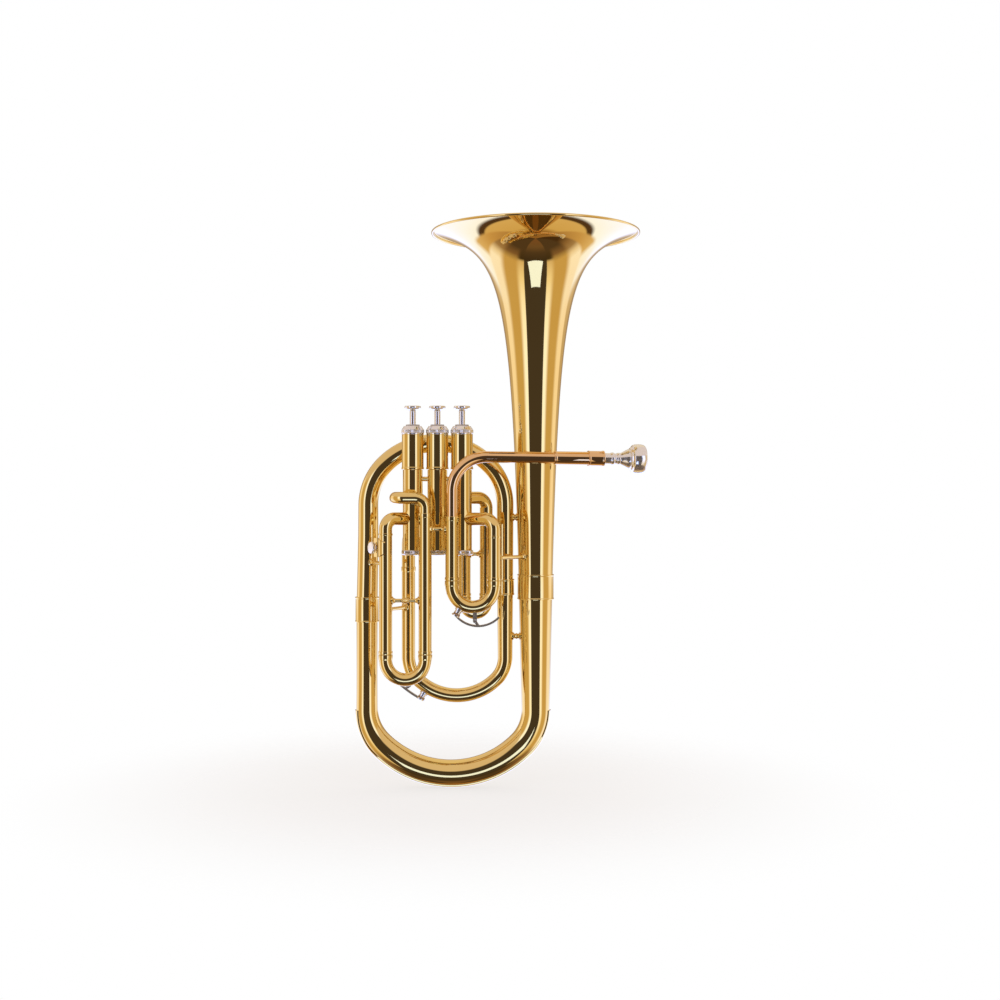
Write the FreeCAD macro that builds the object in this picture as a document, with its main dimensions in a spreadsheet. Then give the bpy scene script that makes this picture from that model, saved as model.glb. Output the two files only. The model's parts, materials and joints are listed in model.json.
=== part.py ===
import FreeCAD, Part

import math
import os
import re

import Sketcher
from FreeCAD import Placement, Rotation, Vector

# Upright tenor horn with three top-action valves.
# Frame: millimetres, +Z up along the bell, +X from the valves towards the mouthpiece, -Y is the
# side of the valves. The origin is the lowest point of the bottom bow, midway between its legs.

DIMENSIONS = {
    # Bell. Outer radius = core + spread / (depth below the rim + lead) ^ power.
    "bell_x": 82.0,
    "bell_top": 540.0,
    "bell_core": 3.72,
    "bell_spread": 532.5,
    "bell_lead": 14.48,
    "bell_power": 0.635,
    "bell_foot": 195.0,
    "bell_wall": 0.6,
    "bead_radius": 1.3,
    "rim_trim": 0.6,
    "tube_wall": 0.6,
    "joint_gap": 0.4,
    "ferrule_wall": 0.8,
    "bell_ferrule_radius": 16.7,
    "ferrule_length": 24.4,
    "solder_gap": 0.03,
    # Bottom bow and its guard.
    "left_x": -82.0,
    "bottom_z": 13.7,
    "bottom_rise": 61.7,
    "left_joint_z": 173.0,
    "bow_right_radius": 13.9,
    "bow_low_right_radius": 13.3,
    "bow_low_left_radius": 12.2,
    "bow_left_radius": 10.7,
    "left_joint_radius": 10.2,
    "guard_thickness": 0.9,
    "guard_half_width": 8.0,
    "guard_top": 76.0,
    # Top bow, from the left leg over the valves to the inner leg.
    "top_left_x": -80.8,
    "inner_x": 52.4,
    "top_base": 274.5,
    "leg_bend_radius": 300.0,
    "top_rise": 60.2,
    "top_left_radius": 9.6,
    "top_middle_radius": 9.0,
    "top_right_radius": 8.1,
    "inner_joint_z": 194.8,
    "inner_joint_radius": 7.7,
    "inner_ferrule_length": 15.5,
    # Medium bow, from the inner leg round to the third valve.
    "medium_left_x": -41.7,
    "medium_base": 125.6,
    "medium_rise": 36.4,
    "medium_right_radius": 7.2,
    "medium_left_radius": 6.5,
    "medium_end_radius": 6.4,
    "medium_port_z": 244.5,
    "medium_joint_z": 212.0,
    "elbow_radius": 10.0,
    # Valve casings.
    "valve_pitch": 23.6,
    "valve_first_x": 10.9,
    "valve_y": -21.0,
    "casing_bottom": 231.4,
    "casing_neck": 2.6,
    "casing_ledge": 309.6,
    "casing_top": 342.2,
    "casing_radius": 9.5,
    "barrel_radius": 10.4,
    "barrel_bore": 9.3,
    "neck_radius": 9.8,
    "bore_radius": 8.6,
    "ring_radius": 10.8,
    "cap_radius": 10.9,
    "cap_height": 7.9,
    "cap_crown_radius": 8.6,
    "cap_plate": 1.6,
    "stem_hole": 3.4,
    "bottom_cap_height": 5.2,
    "bottom_cap_floor": 1.4,
    "vent_radius": 2.0,
    # Pistons, stems and buttons. The stroke is the travel of every valve.
    "stroke": 13.0,
    "piston_radius": 8.55,
    "piston_wall": 0.7,
    "piston_bottom": 243.2,
    "piston_top": 346.3,
    "port_radius": 4.7,
    "port_wall": 0.4,
    "knuckle_z": 261.2,
    "upper_port_z": 281.3,
    "slot_width": 3.6,
    "guide_thickness": 2.0,
    "guide_wing_width": 3.0,
    "guide_wing_reach": 9.1,
    "guide_radius": 7.3,
    "guide_hole": 3.0,
    "felt_thickness": 1.5,
    "felt_radius": 6.6,
    "stem_radius": 2.95,
    "button_radius": 7.85,
    "button_bottom": 364.8,
    "button_height": 4.8,
    "spring_radius": 5.8,
    "spring_wire": 0.4,
    "spring_pitch": 4.1,
    # Crossover tubes and braces between the casings.
    "knuckle_radius": 5.4,
    "casing_stay_radius": 2.3,
    "casing_stay_z": 299.5,
    # Valve slides and main slide: outer tubes, inner legs and crooks.
    "slide_radius": 6.2,
    "slide_inner": 5.62,
    "leg_radius": 5.55,
    "leg_bore": 5.0,
    "ring_length": 5.0,
    "ring_step": 0.5,
    "slide_gap": 0.3,
    "joint_ring_length": 4.0,
    "main_left_x": 1.9,
    "main_right_x": 41.7,
    "main_y": -41.5,
    "main_u_top": 198.0,
    "main_left_joint": 263.8,
    "main_right_joint": 243.5,
    "main_leg_length": 34.0,
    "first_left_x": 12.6,
    "first_right_x": 34.0,
    "first_y": -3.2,
    "first_u_top": 180.4,
    "first_port_z": 266.0,
    "first_high_port_z": 281.3,
    "first_leg_length": 45.0,
    "second_low_z": 266.0,
    "second_high_z": 285.0,
    "second_tube_end": 9.0,
    "second_leg_length": 12.0,
    "third_left_x": -61.0,
    "third_right_x": -23.5,
    "third_y": -39.0,
    "third_u_top": 127.9,
    "third_left_joint": 247.7,
    "third_left_port_z": 261.5,
    "third_right_joint": 266.7,
    "third_turn_x": -52.2,
    "third_turn_radius": 9.0,
    "third_upper_radius": 5.8,
    "third_leg_length": 62.0,
    # Leadpipe, mouthpiece receiver and mouthpiece. They run to the right at a slight yaw.
    "lead_z": 320.6,
    "lead_yaw": 9.85,
    "lead_droop": 0.5,
    "lead_bend_radius": 32.7,
    "lead_low_radius": 5.5,
    "lead_radius": 5.35,
    "receiver_start": 98.4,
    "receiver_length": 49.2,
    "receiver_radius": 6.3,
    "receiver_sleeve": 15.8,
    "receiver_sleeve_radius": 7.1,
    "receiver_bore": 5.25,
    "mouthpiece_insert": 23.0,
    # Braces.
    "stay_radius": 1.9,
    "stay_foot_radius": 3.4,
    "stay_foot_length": 2.4,
    "bell_stay_z": 224.6,
    "upper_bell_stay_z": 262.6,
    "bow_stay_z": 147.0,
    "third_stay_z": 184.1,
    "third_bow_stay_z": 175.3,
    "main_stay_z": 251.8,
    "first_stay_z": 227.0,
    "left_leg_stay_z": 219.0,
    # Lyre socket and its screw.
    "lyre_x": -68.6,
    "lyre_y": -24.0,
    "lyre_bottom": 225.0,
    "lyre_height": 18.0,
    "lyre_width": 7.8,
    "lyre_bore": 2.5,
    "lyre_yaw": 35.0,
    "saddle_radius": 8.8,
    "saddle_thickness": 0.9,
    "screw_z": 233.8,
    "screw_radius": 1.5,
    "screw_clearance": 0.05,
    "knob_radius": 5.7,
    # Water keys.
    "key_width": 4.4,
    "key_thickness": 1.8,
    "key_pin_radius": 0.8,
    "key_ear_gap": 5.2,
    "key_ear_thickness": 0.9,
    "key_pad_radius": 4.2,
    "key_pad_thickness": 1.2,
    "key_spring_wire": 0.3,
    "nipple_radius": 3.2,
    "nipple_flange": 1.0,
    "nipple_seat": 2.4,
    "nipple_bore": 1.2,
    "nipple_height": 3.6,
    "cork_radius": 3.4,
    "cork_thickness": 1.8,
    "main_key_angle": 240.0,
    "main_key_pivot_x": 23.7,
    "main_key_pivot_z": 165.2,
    "main_key_middle_x": 27.0,
    "main_key_middle_z": 160.2,
    "main_key_finger_x": 46.5,
    "main_key_finger_z": 168.6,
    "bow_key_angle": 238.6,
    "bow_key_ear_angle": 223.0,
    "bow_key_pivot_height": 4.6,
    "bow_key_middle_x": -44.5,
    "bow_key_middle_z": 95.6,
    "bow_key_finger_x": -58.0,
    "bow_key_finger_z": 108.0,
}

doc = FreeCAD.newDocument("TenorHorn")
sheet = doc.addObject("Spreadsheet::Sheet", "Dimensions")
for row, (alias, size) in enumerate(DIMENSIONS.items(), start=1):
    sheet.set(f"A{row}", alias.replace("_", " "))
    sheet.set(f"B{row}", str(size))
    sheet.setAlias(f"B{row}", alias)
doc.recompute()

SUBPARTS = []
WORD = re.compile(r"[a-z][a-z_0-9]*")
UP = Vector(0, 0, 1)
BACK = Vector(0, 1, 0)
RIGHT = Vector(1, 0, 0)


def value(expression):
    """Number that an expression of the sheet's dimensions gives."""
    return float(sheet.evalExpression(str(expression)))


def linked(expression):
    """The same expression as other objects of the document write it."""
    def at_sheet(word):
        name = word.group()
        return "Dimensions." + name if name in DIMENSIONS else name
    return WORD.sub(at_sheet, str(expression))


def bind(item, **sizes):
    """Bind properties of an object to expressions of the sheet's dimensions."""
    for name, expression in sizes.items():
        item.setExpression(name, linked(expression))


def place(item, x=0, y=0, z=0, rotation=None):
    """Placement whose base follows the sheet."""
    if rotation is not None:
        item.Placement = Placement(Vector(), rotation)
    item.setExpression("Placement.Base.x", linked(x))
    item.setExpression("Placement.Base.y", linked(y))
    item.setExpression("Placement.Base.z", linked(z))


def subpart(item, label):
    """Register an object as the sub-part that its label names."""
    item.Label = label
    SUBPARTS.append(item)
    return item


def point(x, y, z):
    """Position from three expressions."""
    return Vector(value(x), value(y), value(z))


# ---------------------------------------------------------------- sketches and bodies

def origin_plane(body, role):
    """One of a body's own base planes."""
    for feature in body.Origin.OriginFeatures:
        if feature.Role == role:
            return feature
    raise ValueError(role)


def sketch_on(body, role, name):
    """Empty sketch on one of the body's base planes."""
    sketch = body.newObject("Sketcher::SketchObject", name)
    sketch.AttachmentSupport = (origin_plane(body, role), [""])
    sketch.MapMode = "FlatFace"
    return sketch


def pin_coordinate(sketch, geometry, vertex, kind, expression):
    """Hold a sketch point's distance from the origin along one axis."""
    distance = value(expression)
    if abs(distance) < 1e-9:
        axis = -2 if kind == "DistanceX" else -1
        sketch.addConstraint(Sketcher.Constraint("PointOnObject", geometry, vertex, axis))
        return
    constraint = Sketcher.Constraint(kind, -1, 1, geometry, vertex, distance)
    number = sketch.addConstraint(constraint)
    sketch.setExpression(f"Constraints[{number}]", linked(expression))


def outline(sketch, corners):
    """Closed outline through corners given as pairs of expressions."""
    places = [Vector(value(across), value(along), 0) for across, along in corners]
    count = len(places)
    for number in range(count):
        line = Part.LineSegment(places[number], places[(number + 1) % count])
        sketch.addGeometry(line, False)
    for number in range(count):
        meeting = Sketcher.Constraint("Coincident", number, 2, (number + 1) % count, 1)
        sketch.addConstraint(meeting)
    for number, (across, along) in enumerate(corners):
        pin_coordinate(sketch, number, 1, "DistanceX", across)
        pin_coordinate(sketch, number, 1, "DistanceY", along)


def circle(sketch, across, along, radius):
    """Circle whose centre and radius follow the sheet."""
    shape = Part.Circle(Vector(value(across), value(along), 0), UP, value(radius))
    number = sketch.addGeometry(shape, False)
    pin_coordinate(sketch, number, 3, "DistanceX", across)
    pin_coordinate(sketch, number, 3, "DistanceY", along)
    size = sketch.addConstraint(Sketcher.Constraint("Radius", number, value(radius)))
    sketch.setExpression(f"Constraints[{size}]", linked(radius))


def new_body(label):
    """PartDesign body of its own for one sub-part."""
    body = doc.addObject("PartDesign::Body", label)
    body.Label = label
    return body


def turned(label, corners):
    """Body turned about its own Z axis from (radius, height) expressions."""
    body = new_body(label)
    sketch = sketch_on(body, "XZ_Plane", label + "_outline")
    outline(sketch, corners)
    turning = body.newObject("PartDesign::Revolution", label + "_turning")
    turning.Profile = sketch
    turning.ReferenceAxis = (sketch, ["V_Axis"])
    turning.Angle = 360.0
    sketch.Visibility = False
    return body


def padded(body, name, circles, height):
    """Pad of round outlines on the body's XY plane; the height is upwards."""
    sketch = sketch_on(body, "XY_Plane", name + "_outline")
    for across, along, radius in circles:
        circle(sketch, across, along, radius)
    pad = body.newObject("PartDesign::Pad", name)
    pad.Profile = sketch
    pad.setExpression("Length", linked(height))
    return pad


# ---------------------------------------------------------------- routed tubes

def rounded_wire(corners, radii):
    """Straight runs joined by tangent arcs, one radius for each inner corner."""
    edges = []
    start = corners[0]
    for before, corner, after, radius in zip(corners, corners[1:], corners[2:], radii):
        arriving = (corner - before).normalize()
        leaving = (after - corner).normalize()
        turn = arriving.getAngle(leaving)
        reach = radius * math.tan(turn / 2)
        first = corner - arriving * reach
        last = corner + leaving * reach
        inward = (leaving - arriving).normalize()
        middle = corner + inward * (radius / math.cos(turn / 2) - radius)
        if (first - start).Length > 0.001:
            edges.append(Part.LineSegment(start, first).toShape())
        edges.append(Part.Arc(first, middle, last).toShape())
        start = last
    if (corners[-1] - start).Length > 0.001:
        edges.append(Part.LineSegment(start, corners[-1]).toShape())
    return Part.Wire(edges)


def section(edge, parameter, radius):
    """Round section square to an edge, always started on the same side of it."""
    ring = Part.Wire([Part.Circle(Vector(), UP, radius).toShape()])
    tangent = edge.tangentAt(parameter)
    ring.Placement = Placement(edge.valueAt(parameter), Rotation(BACK, Vector(), tangent, "ZXY"))
    return ring


def bar(wire, taper):
    """Round solid along a wire. The taper is (share of the length, radius) from 0 to 1."""
    shell = Part.BRepOffsetAPI.MakePipeShell(wire)
    shell.setFrenetMode(False)
    edges = wire.OrderedEdges
    shell.add(section(edges[0], edges[0].FirstParameter, taper[0][1]))
    done = 0
    for edge in edges:
        done += edge.Length / wire.Length
        if len(taper) > 1:
            shell.add(section(edge, edge.LastParameter, radius_at(taper, done)))
    shell.build()
    shell.makeSolid()
    return shell.shape()


def radius_at(taper, share):
    """Radius of a taper at a share of the length."""
    for (low, first), (high, last) in zip(taper, taper[1:]):
        if share <= high:
            return first + (last - first) * (share - low) / (high - low)
    return taper[-1][1]


def tube(wire, taper, wall):
    """Bar with a bore that leaves an even wall."""
    return bar(wire, taper).cut(bar(wire, thicker(taper, -wall)))


def thicker(taper, amount):
    """Taper whose radii are all larger by an amount."""
    return [(share, radius + amount) for share, radius in taper]


def half_bow(left, right, base, rise, side):
    """Corners and radii of a flattened half ring; side is 1 above the base and -1 below it.

    It is three arcs that turn 45, 90 and 45 degrees, and its corners run from left to right.
    """
    half = (right - left) / 2
    sine = math.sqrt(0.5)
    large = (half - (half + rise) * (1 - sine)) / (2 * sine - 1)
    small = half + rise - large
    lift = small * math.tan(math.pi / 8)
    middle = (left + right) / 2
    corners = [Vector(left, 0, base + side * lift)]
    corners.append(Vector(middle, 0, base + side * (lift + half)))
    corners.append(Vector(right, 0, base + side * lift))
    return corners, [small, large, small]


def fitted(shape, label):
    """Feature for a shape that the sheet's sizes have given."""
    where = shape.Placement
    feature = doc.addObject("Part::Feature", label)
    feature.Shape = shape
    feature.Placement = where
    return subpart(feature, label)


def cylinder(centre, axis, radius, low, high):
    """Cylinder along an axis through a point, between two distances from it."""
    return Part.makeCylinder(radius, high - low, centre + axis * low, axis)


def in_plane(angle):
    """Direction in the XZ plane at an angle in degrees from +X towards +Z."""
    return Vector(math.cos(math.radians(angle)), 0, math.sin(math.radians(angle)))


def in_plan(angle):
    """Level direction at an angle in degrees from +X towards +Y."""
    return Vector(math.cos(math.radians(angle)), math.sin(math.radians(angle)), 0)


def valve_x(number):
    """Expression of a valve's place along X; valve 1 is beside the bell."""
    return f"valve_first_x-{number - 1}*valve_pitch"


def angle_from_valve(number, x, y):
    """Direction in degrees from a valve's axis to a place given by expressions."""
    along = value(x) - value(valve_x(number))
    across = value(y) - value("valve_y")
    return math.degrees(math.atan2(across, along))


VALVES = (1, 2, 3)
FILLED = {}


# ---------------------------------------------------------------- bell and main bows

def bell_radius(height):
    """Outer radius of the bell at a height."""
    depth = value("bell_top") - height
    flare = value("bell_spread") / (depth + value("bell_lead")) ** value("bell_power")
    return value("bell_core") + flare


def bell_outline(inset):
    """Points down the bell's outline, closer together towards the rim."""
    top = value("bell_top")
    length = top - value("bell_foot")
    steps = 26
    heights = [top - length * (number / steps) ** 2.2 for number in range(steps + 1)]
    places = []
    for height in heights:
        slope = (bell_radius(height + 0.05) - bell_radius(height - 0.05)) / 0.1
        lean = math.hypot(1, slope)
        radius = bell_radius(height) - inset / lean
        places.append(Vector(radius, 0, height + inset * slope / lean))
    return places


def revolved(places):
    """Solid from a smooth curve of places in the XZ plane, closed to the axis and turned."""
    curve = Part.BSplineCurve()
    curve.interpolate(places)
    top = places[0]
    foot = places[-1]
    edges = [curve.toShape()]
    edges.append(Part.LineSegment(foot, Vector(0, 0, foot.z)).toShape())
    edges.append(Part.LineSegment(Vector(0, 0, foot.z), Vector(0, 0, top.z)).toShape())
    edges.append(Part.LineSegment(Vector(0, 0, top.z), top).toShape())
    return Part.Face(Part.Wire(edges)).revolve(Vector(), UP, 360)


def make_bell():
    """Thin flared bell with its rim rolled over a wire."""
    outer = revolved(bell_outline(0))
    core = revolved(bell_outline(value("bell_wall")))
    edge = value("bell_top-rim_trim")
    foot = value("bell_foot")
    above = Part.makeCylinder(2 * bell_radius(edge), 20, Vector(0, 0, edge))
    tail = Part.makeCylinder(bell_radius(foot) - value("bell_wall"), 2, Vector(0, 0, foot - 1))
    shell = outer.cut(core).cut(tail).cut(above)
    shell.translate(point("bell_x", 0, 0))
    outer.translate(point("bell_x", 0, 0))
    FILLED["bell"] = outer
    fitted(shell, "bell")
    rim = doc.addObject("Part::Torus", "bell_rim_wire")
    sheet_edge = "bell_core+bell_spread/(bell_lead+rim_trim)^bell_power"
    bind(rim, Radius1=sheet_edge + "+bead_radius+solder_gap", Radius2="bead_radius")
    place(rim, "bell_x", 0, "bell_top-bead_radius")
    subpart(rim, "bell_rim_wire")


def ferrule(label, x, z, radius, length):
    """Sleeve with a bead at each end that covers a joint of the main tube."""
    sleeve = f"{radius}+ferrule_wall"
    bead = f"{radius}+ferrule_wall+0.35"
    corners = [(radius, 0), (bead, 0), (bead, 1.2), (sleeve, 1.7)]
    corners += [(sleeve, f"{length}-1.7"), (bead, f"{length}-1.2"), (bead, length), (radius, length)]
    body = turned(label, corners)
    place(body, x, 0, z)
    return body


def make_ferrules():
    """Sleeves over the joints of the bell, the left leg and the inner leg."""
    half = "ferrule_length/2"
    bell = ferrule("bell_ferrule", "bell_x", f"bell_foot-{half}", "bell_ferrule_radius",
                   "ferrule_length")
    subpart(bell, "bell_ferrule")
    left = ferrule("left_leg_ferrule", "left_x", f"left_joint_z-{half}", "left_joint_radius+0.2",
                   "ferrule_length")
    inner = ferrule("inner_leg_ferrule", "inner_x", "inner_joint_z-inner_ferrule_length/2",
                    "inner_joint_radius+0.1", "inner_ferrule_length")
    pair = doc.addObject("Part::Compound", "leg_ferrules")
    pair.Links = [left, inner]
    subpart(pair, "leg_ferrules")


def make_bottom_bow():
    """Bow that carries the bore from the bell round to the left leg."""
    base = value("bottom_z") + value("bottom_rise")
    corners, radii = half_bow(value("left_x"), value("bell_x"), base, value("bottom_rise"), -1)
    corners.insert(0, point("left_x", 0, "left_joint_z"))
    corners.append(point("bell_x", 0, "bell_foot"))
    wire = rounded_wire(corners, radii)
    taper = [(0, value("left_joint_radius")), (0.22, value("bow_left_radius"))]
    taper += [(0.31, value("bow_low_left_radius")), (0.65, value("bow_low_right_radius"))]
    taper += [(0.73, value("bow_right_radius")), (1, bell_radius(value("bell_foot")))]
    FILLED["bottom_bow"] = bar(wire, taper)
    fitted(tube(wire, taper, value("tube_wall")), "bottom_bow")
    # The guard is a strip over the outer side of the bow.
    gap = value("solder_gap")
    thick = value("guard_thickness")
    strip = bar(wire, thicker(taper, thick)).cut(bar(wire, thicker(taper, gap)))
    half = value("guard_half_width")
    band = Part.makeBox(300, 2 * half, value("guard_top") + 20, Vector(-150, -half, -20))
    inside = Part.Face(Part.Wire(wire.Edges + [Part.LineSegment(corners[-1], corners[0]).toShape()]))
    inside = inside.extrude(BACK * 60)
    inside.translate(BACK * -30)
    guard = strip.common(band).cut(inside)
    fitted(guard, "bow_guard")


def make_top_bow():
    """Left leg, arch over the back of the valves and inner leg, in one long tapered tube."""
    left = value("top_left_x")
    right = value("inner_x")
    corners, radii = half_bow(left, right, value("top_base"), value("top_rise"), 1)
    corners.insert(0, point("top_left_x", 0, "top_base-30"))
    corners.insert(0, point("left_x", 0, "left_joint_z+joint_gap"))
    corners.append(point("inner_x", 0, "inner_joint_z+joint_gap"))
    wire = rounded_wire(corners, [value("leg_bend_radius")] + radii)
    taper = [(0, value("left_joint_radius")), (0.27, value("top_left_radius"))]
    taper += [(0.53, value("top_middle_radius")), (0.79, value("top_right_radius"))]
    taper.append((1, value("inner_joint_radius")))
    FILLED["top_bow"] = bar(wire, taper)
    fitted(tube(wire, taper, value("tube_wall")), "top_bow")


def make_medium_bow():
    """Bow from the inner leg under the valves and up behind the third casing."""
    left = value("medium_left_x")
    right = value("inner_x")
    corners, radii = half_bow(left, right, value("medium_base"), value("medium_rise"), -1)
    corners = [point("inner_x", 0, "inner_joint_z")] + corners[::-1]
    joint = point("medium_left_x", 0, "medium_joint_z")
    corners.append(joint)
    wire = rounded_wire(corners, radii)
    taper = [(0, value("inner_joint_radius")), (0.25, value("medium_right_radius"))]
    taper += [(0.72, value("medium_left_radius")), (1, value("medium_end_radius"))]
    bow = tube(wire, taper, value("tube_wall"))
    corners = [joint, point("medium_left_x", 0, "medium_port_z")]
    corners.append(point(valve_x(3), "valve_y", "medium_port_z"))
    outlet_wire = rounded_wire(corners, [value("elbow_radius")])
    end = [(0, value("medium_end_radius"))]
    bore = bar(outlet_wire, thicker(end, -value("tube_wall")))
    outlet = bar(outlet_wire, end).cut(casing_space(3)).cut(bore)
    FILLED["medium_bow"] = bar(wire, taper)
    fitted(Part.makeCompound([bow, outlet]), "medium_bow")


# ---------------------------------------------------------------- valves

def casing_space(number):
    """Solid cylinder that a casing fills."""
    low = value("casing_bottom")
    height = value("casing_top") - low
    foot = point(valve_x(number), "valve_y", "casing_bottom")
    lower = Part.makeCylinder(value("casing_radius"), height, foot)
    step = point(valve_x(number), "valve_y", "casing_ledge")
    upper = Part.makeCylinder(value("barrel_radius"), value("casing_top-casing_ledge"), step)
    return lower.fuse(upper)


def port_angles(number):
    """Direction and height of each port of a casing."""
    if number == 1:
        ports = [(angle_from_valve(1, "main_right_x", "main_y"), "knuckle_z"), (180, "knuckle_z")]
        ports.append((angle_from_valve(1, "first_left_x", "first_y"), "first_port_z"))
        ports.append((angle_from_valve(1, "first_right_x", "first_y"), "first_high_port_z"))
        return ports
    if number == 2:
        return [(0, "knuckle_z"), (180, "knuckle_z"), (90, "second_low_z"), (90, "second_high_z")]
    ports = [(0, "knuckle_z"), (180, "upper_port_z")]
    ports.append((angle_from_valve(3, "third_left_x", "third_y"), "third_left_port_z"))
    ports.append((angle_from_valve(3, "medium_left_x", 0), "medium_port_z"))
    return ports


def make_casing(number):
    """Casing with a ledge for the valve guide, threaded necks and its ports."""
    label = f"valve_casing_{number}"
    neck = "casing_bottom-casing_neck"
    corners = [("bore_radius", neck), ("casing_radius-0.4", neck)]
    corners += [("casing_radius-0.4", "casing_bottom"), ("casing_radius", "casing_bottom")]
    corners += [("casing_radius", "casing_ledge-1.2"), ("ring_radius", "casing_ledge-0.9")]
    corners += [("ring_radius", "casing_ledge+0.9"), ("barrel_radius", "casing_ledge+1.2")]
    corners += [("barrel_radius", "casing_top"), ("neck_radius", "casing_top")]
    corners += [("neck_radius", "casing_top+3.6"), ("barrel_bore", "casing_top+3.6")]
    corners += [("barrel_bore", "casing_ledge"), ("bore_radius", "casing_ledge")]
    blank = turned(label + "_blank", corners)
    place(blank, valve_x(number), "valve_y", 0)
    drills = []
    for angle, height in port_angles(number):
        drill = doc.addObject("Part::Cylinder", label + "_port")
        bind(drill, Radius="port_radius", Height="casing_radius+2")
        turn = Rotation(UP, angle) * Rotation(BACK, 90)
        place(drill, valve_x(number), "valve_y", height, turn)
        drills.append(drill)
    ports = doc.addObject("Part::MultiFuse", label + "_ports")
    ports.Shapes = drills
    casing = doc.addObject("Part::Cut", label)
    casing.Base = blank
    casing.Tool = ports
    subpart(casing, label)


def make_caps(number):
    """Knurled top cap with the stem's hole, and bottom cap with a vent."""
    skirt = "neck_radius+solder_gap"
    plate = "cap_height-cap_plate"
    corners = [("cap_radius-0.35", 0.02), ("cap_radius-0.35", 1.1)]
    corners += [("cap_radius", 1.4), ("cap_radius", 4.4), ("cap_radius-0.5", 4.9)]
    corners += [("cap_radius-0.9", 5.6), ("cap_crown_radius+0.3", "cap_height-0.8")]
    corners += [("cap_crown_radius", "cap_height"), ("stem_hole", "cap_height")]
    corners += [("stem_hole", plate), ("barrel_bore", plate), ("barrel_bore", 3.7)]
    corners += [(skirt, 3.7), (skirt, 0.02)]
    top = turned(f"top_cap_{number}", corners)
    place(top, valve_x(number), "valve_y", "casing_top")
    subpart(top, f"top_cap_{number}")
    inner = "casing_radius-0.4+solder_gap"
    depth = "bottom_cap_height-casing_neck"
    corners = [("vent_radius", 0), (5.4, 0), (6.6, 0.5), ("cap_radius-1.6", 0.5)]
    corners += [("cap_radius-0.4", 1.3), ("cap_radius-0.1", 2), ("cap_radius-0.1", 4.4)]
    corners += [("cap_radius-0.6", "bottom_cap_height-0.03"), (inner, "bottom_cap_height-0.03")]
    corners += [(inner, depth + "-0.1"), ("bore_radius", depth + "-0.1")]
    corners += [("bore_radius", "bottom_cap_floor"), ("vent_radius", "bottom_cap_floor")]
    bottom = turned(f"bottom_cap_{number}", corners)
    place(bottom, valve_x(number), "valve_y", "casing_bottom-bottom_cap_height")
    subpart(bottom, f"bottom_cap_{number}")


def make_piston(number):
    """Hollow piston with three port tubes below and a slotted spring barrel above."""
    label = f"piston_{number}"
    wall = "piston_radius-piston_wall"
    low = "piston_bottom"
    web = "casing_ledge-3"
    top = "piston_top"
    corners = [("vent_radius", low), ("piston_radius", low), ("piston_radius", top)]
    corners += [("stem_radius", top), ("stem_radius", top + "-1.4"), (wall, top + "-1.4")]
    corners += [(wall, "casing_ledge-1.8"), ("vent_radius", "casing_ledge-1.8")]
    corners += [("vent_radius", web), (wall, web), (wall, low + "+1.2"), ("vent_radius", low + "+1.2")]
    shell = turned(label + "_shell", corners)
    place(shell, valve_x(number), "valve_y", 0)
    core = doc.addObject("Part::Cylinder", label + "_core")
    bind(core, Radius="piston_radius-0.02", Height="casing_ledge-piston_bottom-3")
    place(core, valve_x(number), "valve_y", low)
    passages = []
    bores = []
    for angle, height in ((0, "knuckle_z"), (90, "upper_port_z-1"), (-45, "upper_port_z+14")):
        turn = Rotation(UP, angle) * Rotation(BACK, 90)
        for radius, group in (("port_radius+port_wall", passages), ("port_radius", bores)):
            rod = doc.addObject("Part::Cylinder", label + "_passage")
            bind(rod, Radius=radius, Height="2*bore_radius+2")
            reach = f"(bore_radius+1)*{math.cos(math.radians(angle)):.6f}"
            depth = f"(bore_radius+1)*{math.sin(math.radians(angle)):.6f}"
            place(rod, f"{valve_x(number)}-{reach}", f"valve_y-({depth})", height, turn)
            group.append(rod)
    walls = doc.addObject("Part::MultiFuse", label + "_walls")
    walls.Shapes = passages
    inside = doc.addObject("Part::Common", label + "_inside")
    inside.Base = walls
    inside.Tool = core
    solid = doc.addObject("Part::Fuse", label + "_solid")
    solid.Base = shell
    solid.Tool = inside
    slot = doc.addObject("Part::Box", label + "_slot")
    bind(slot, Length="3*bore_radius", Width="slot_width", Height="stroke+guide_thickness+0.8")
    place(slot, f"{valve_x(number)}-1.5*bore_radius", "valve_y-slot_width/2", "casing_ledge-0.4")
    holes = doc.addObject("Part::MultiFuse", label + "_holes")
    holes.Shapes = bores + [slot]
    piston = doc.addObject("Part::Cut", label)
    piston.Base = solid
    piston.Tool = holes
    subpart(piston, label)


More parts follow.
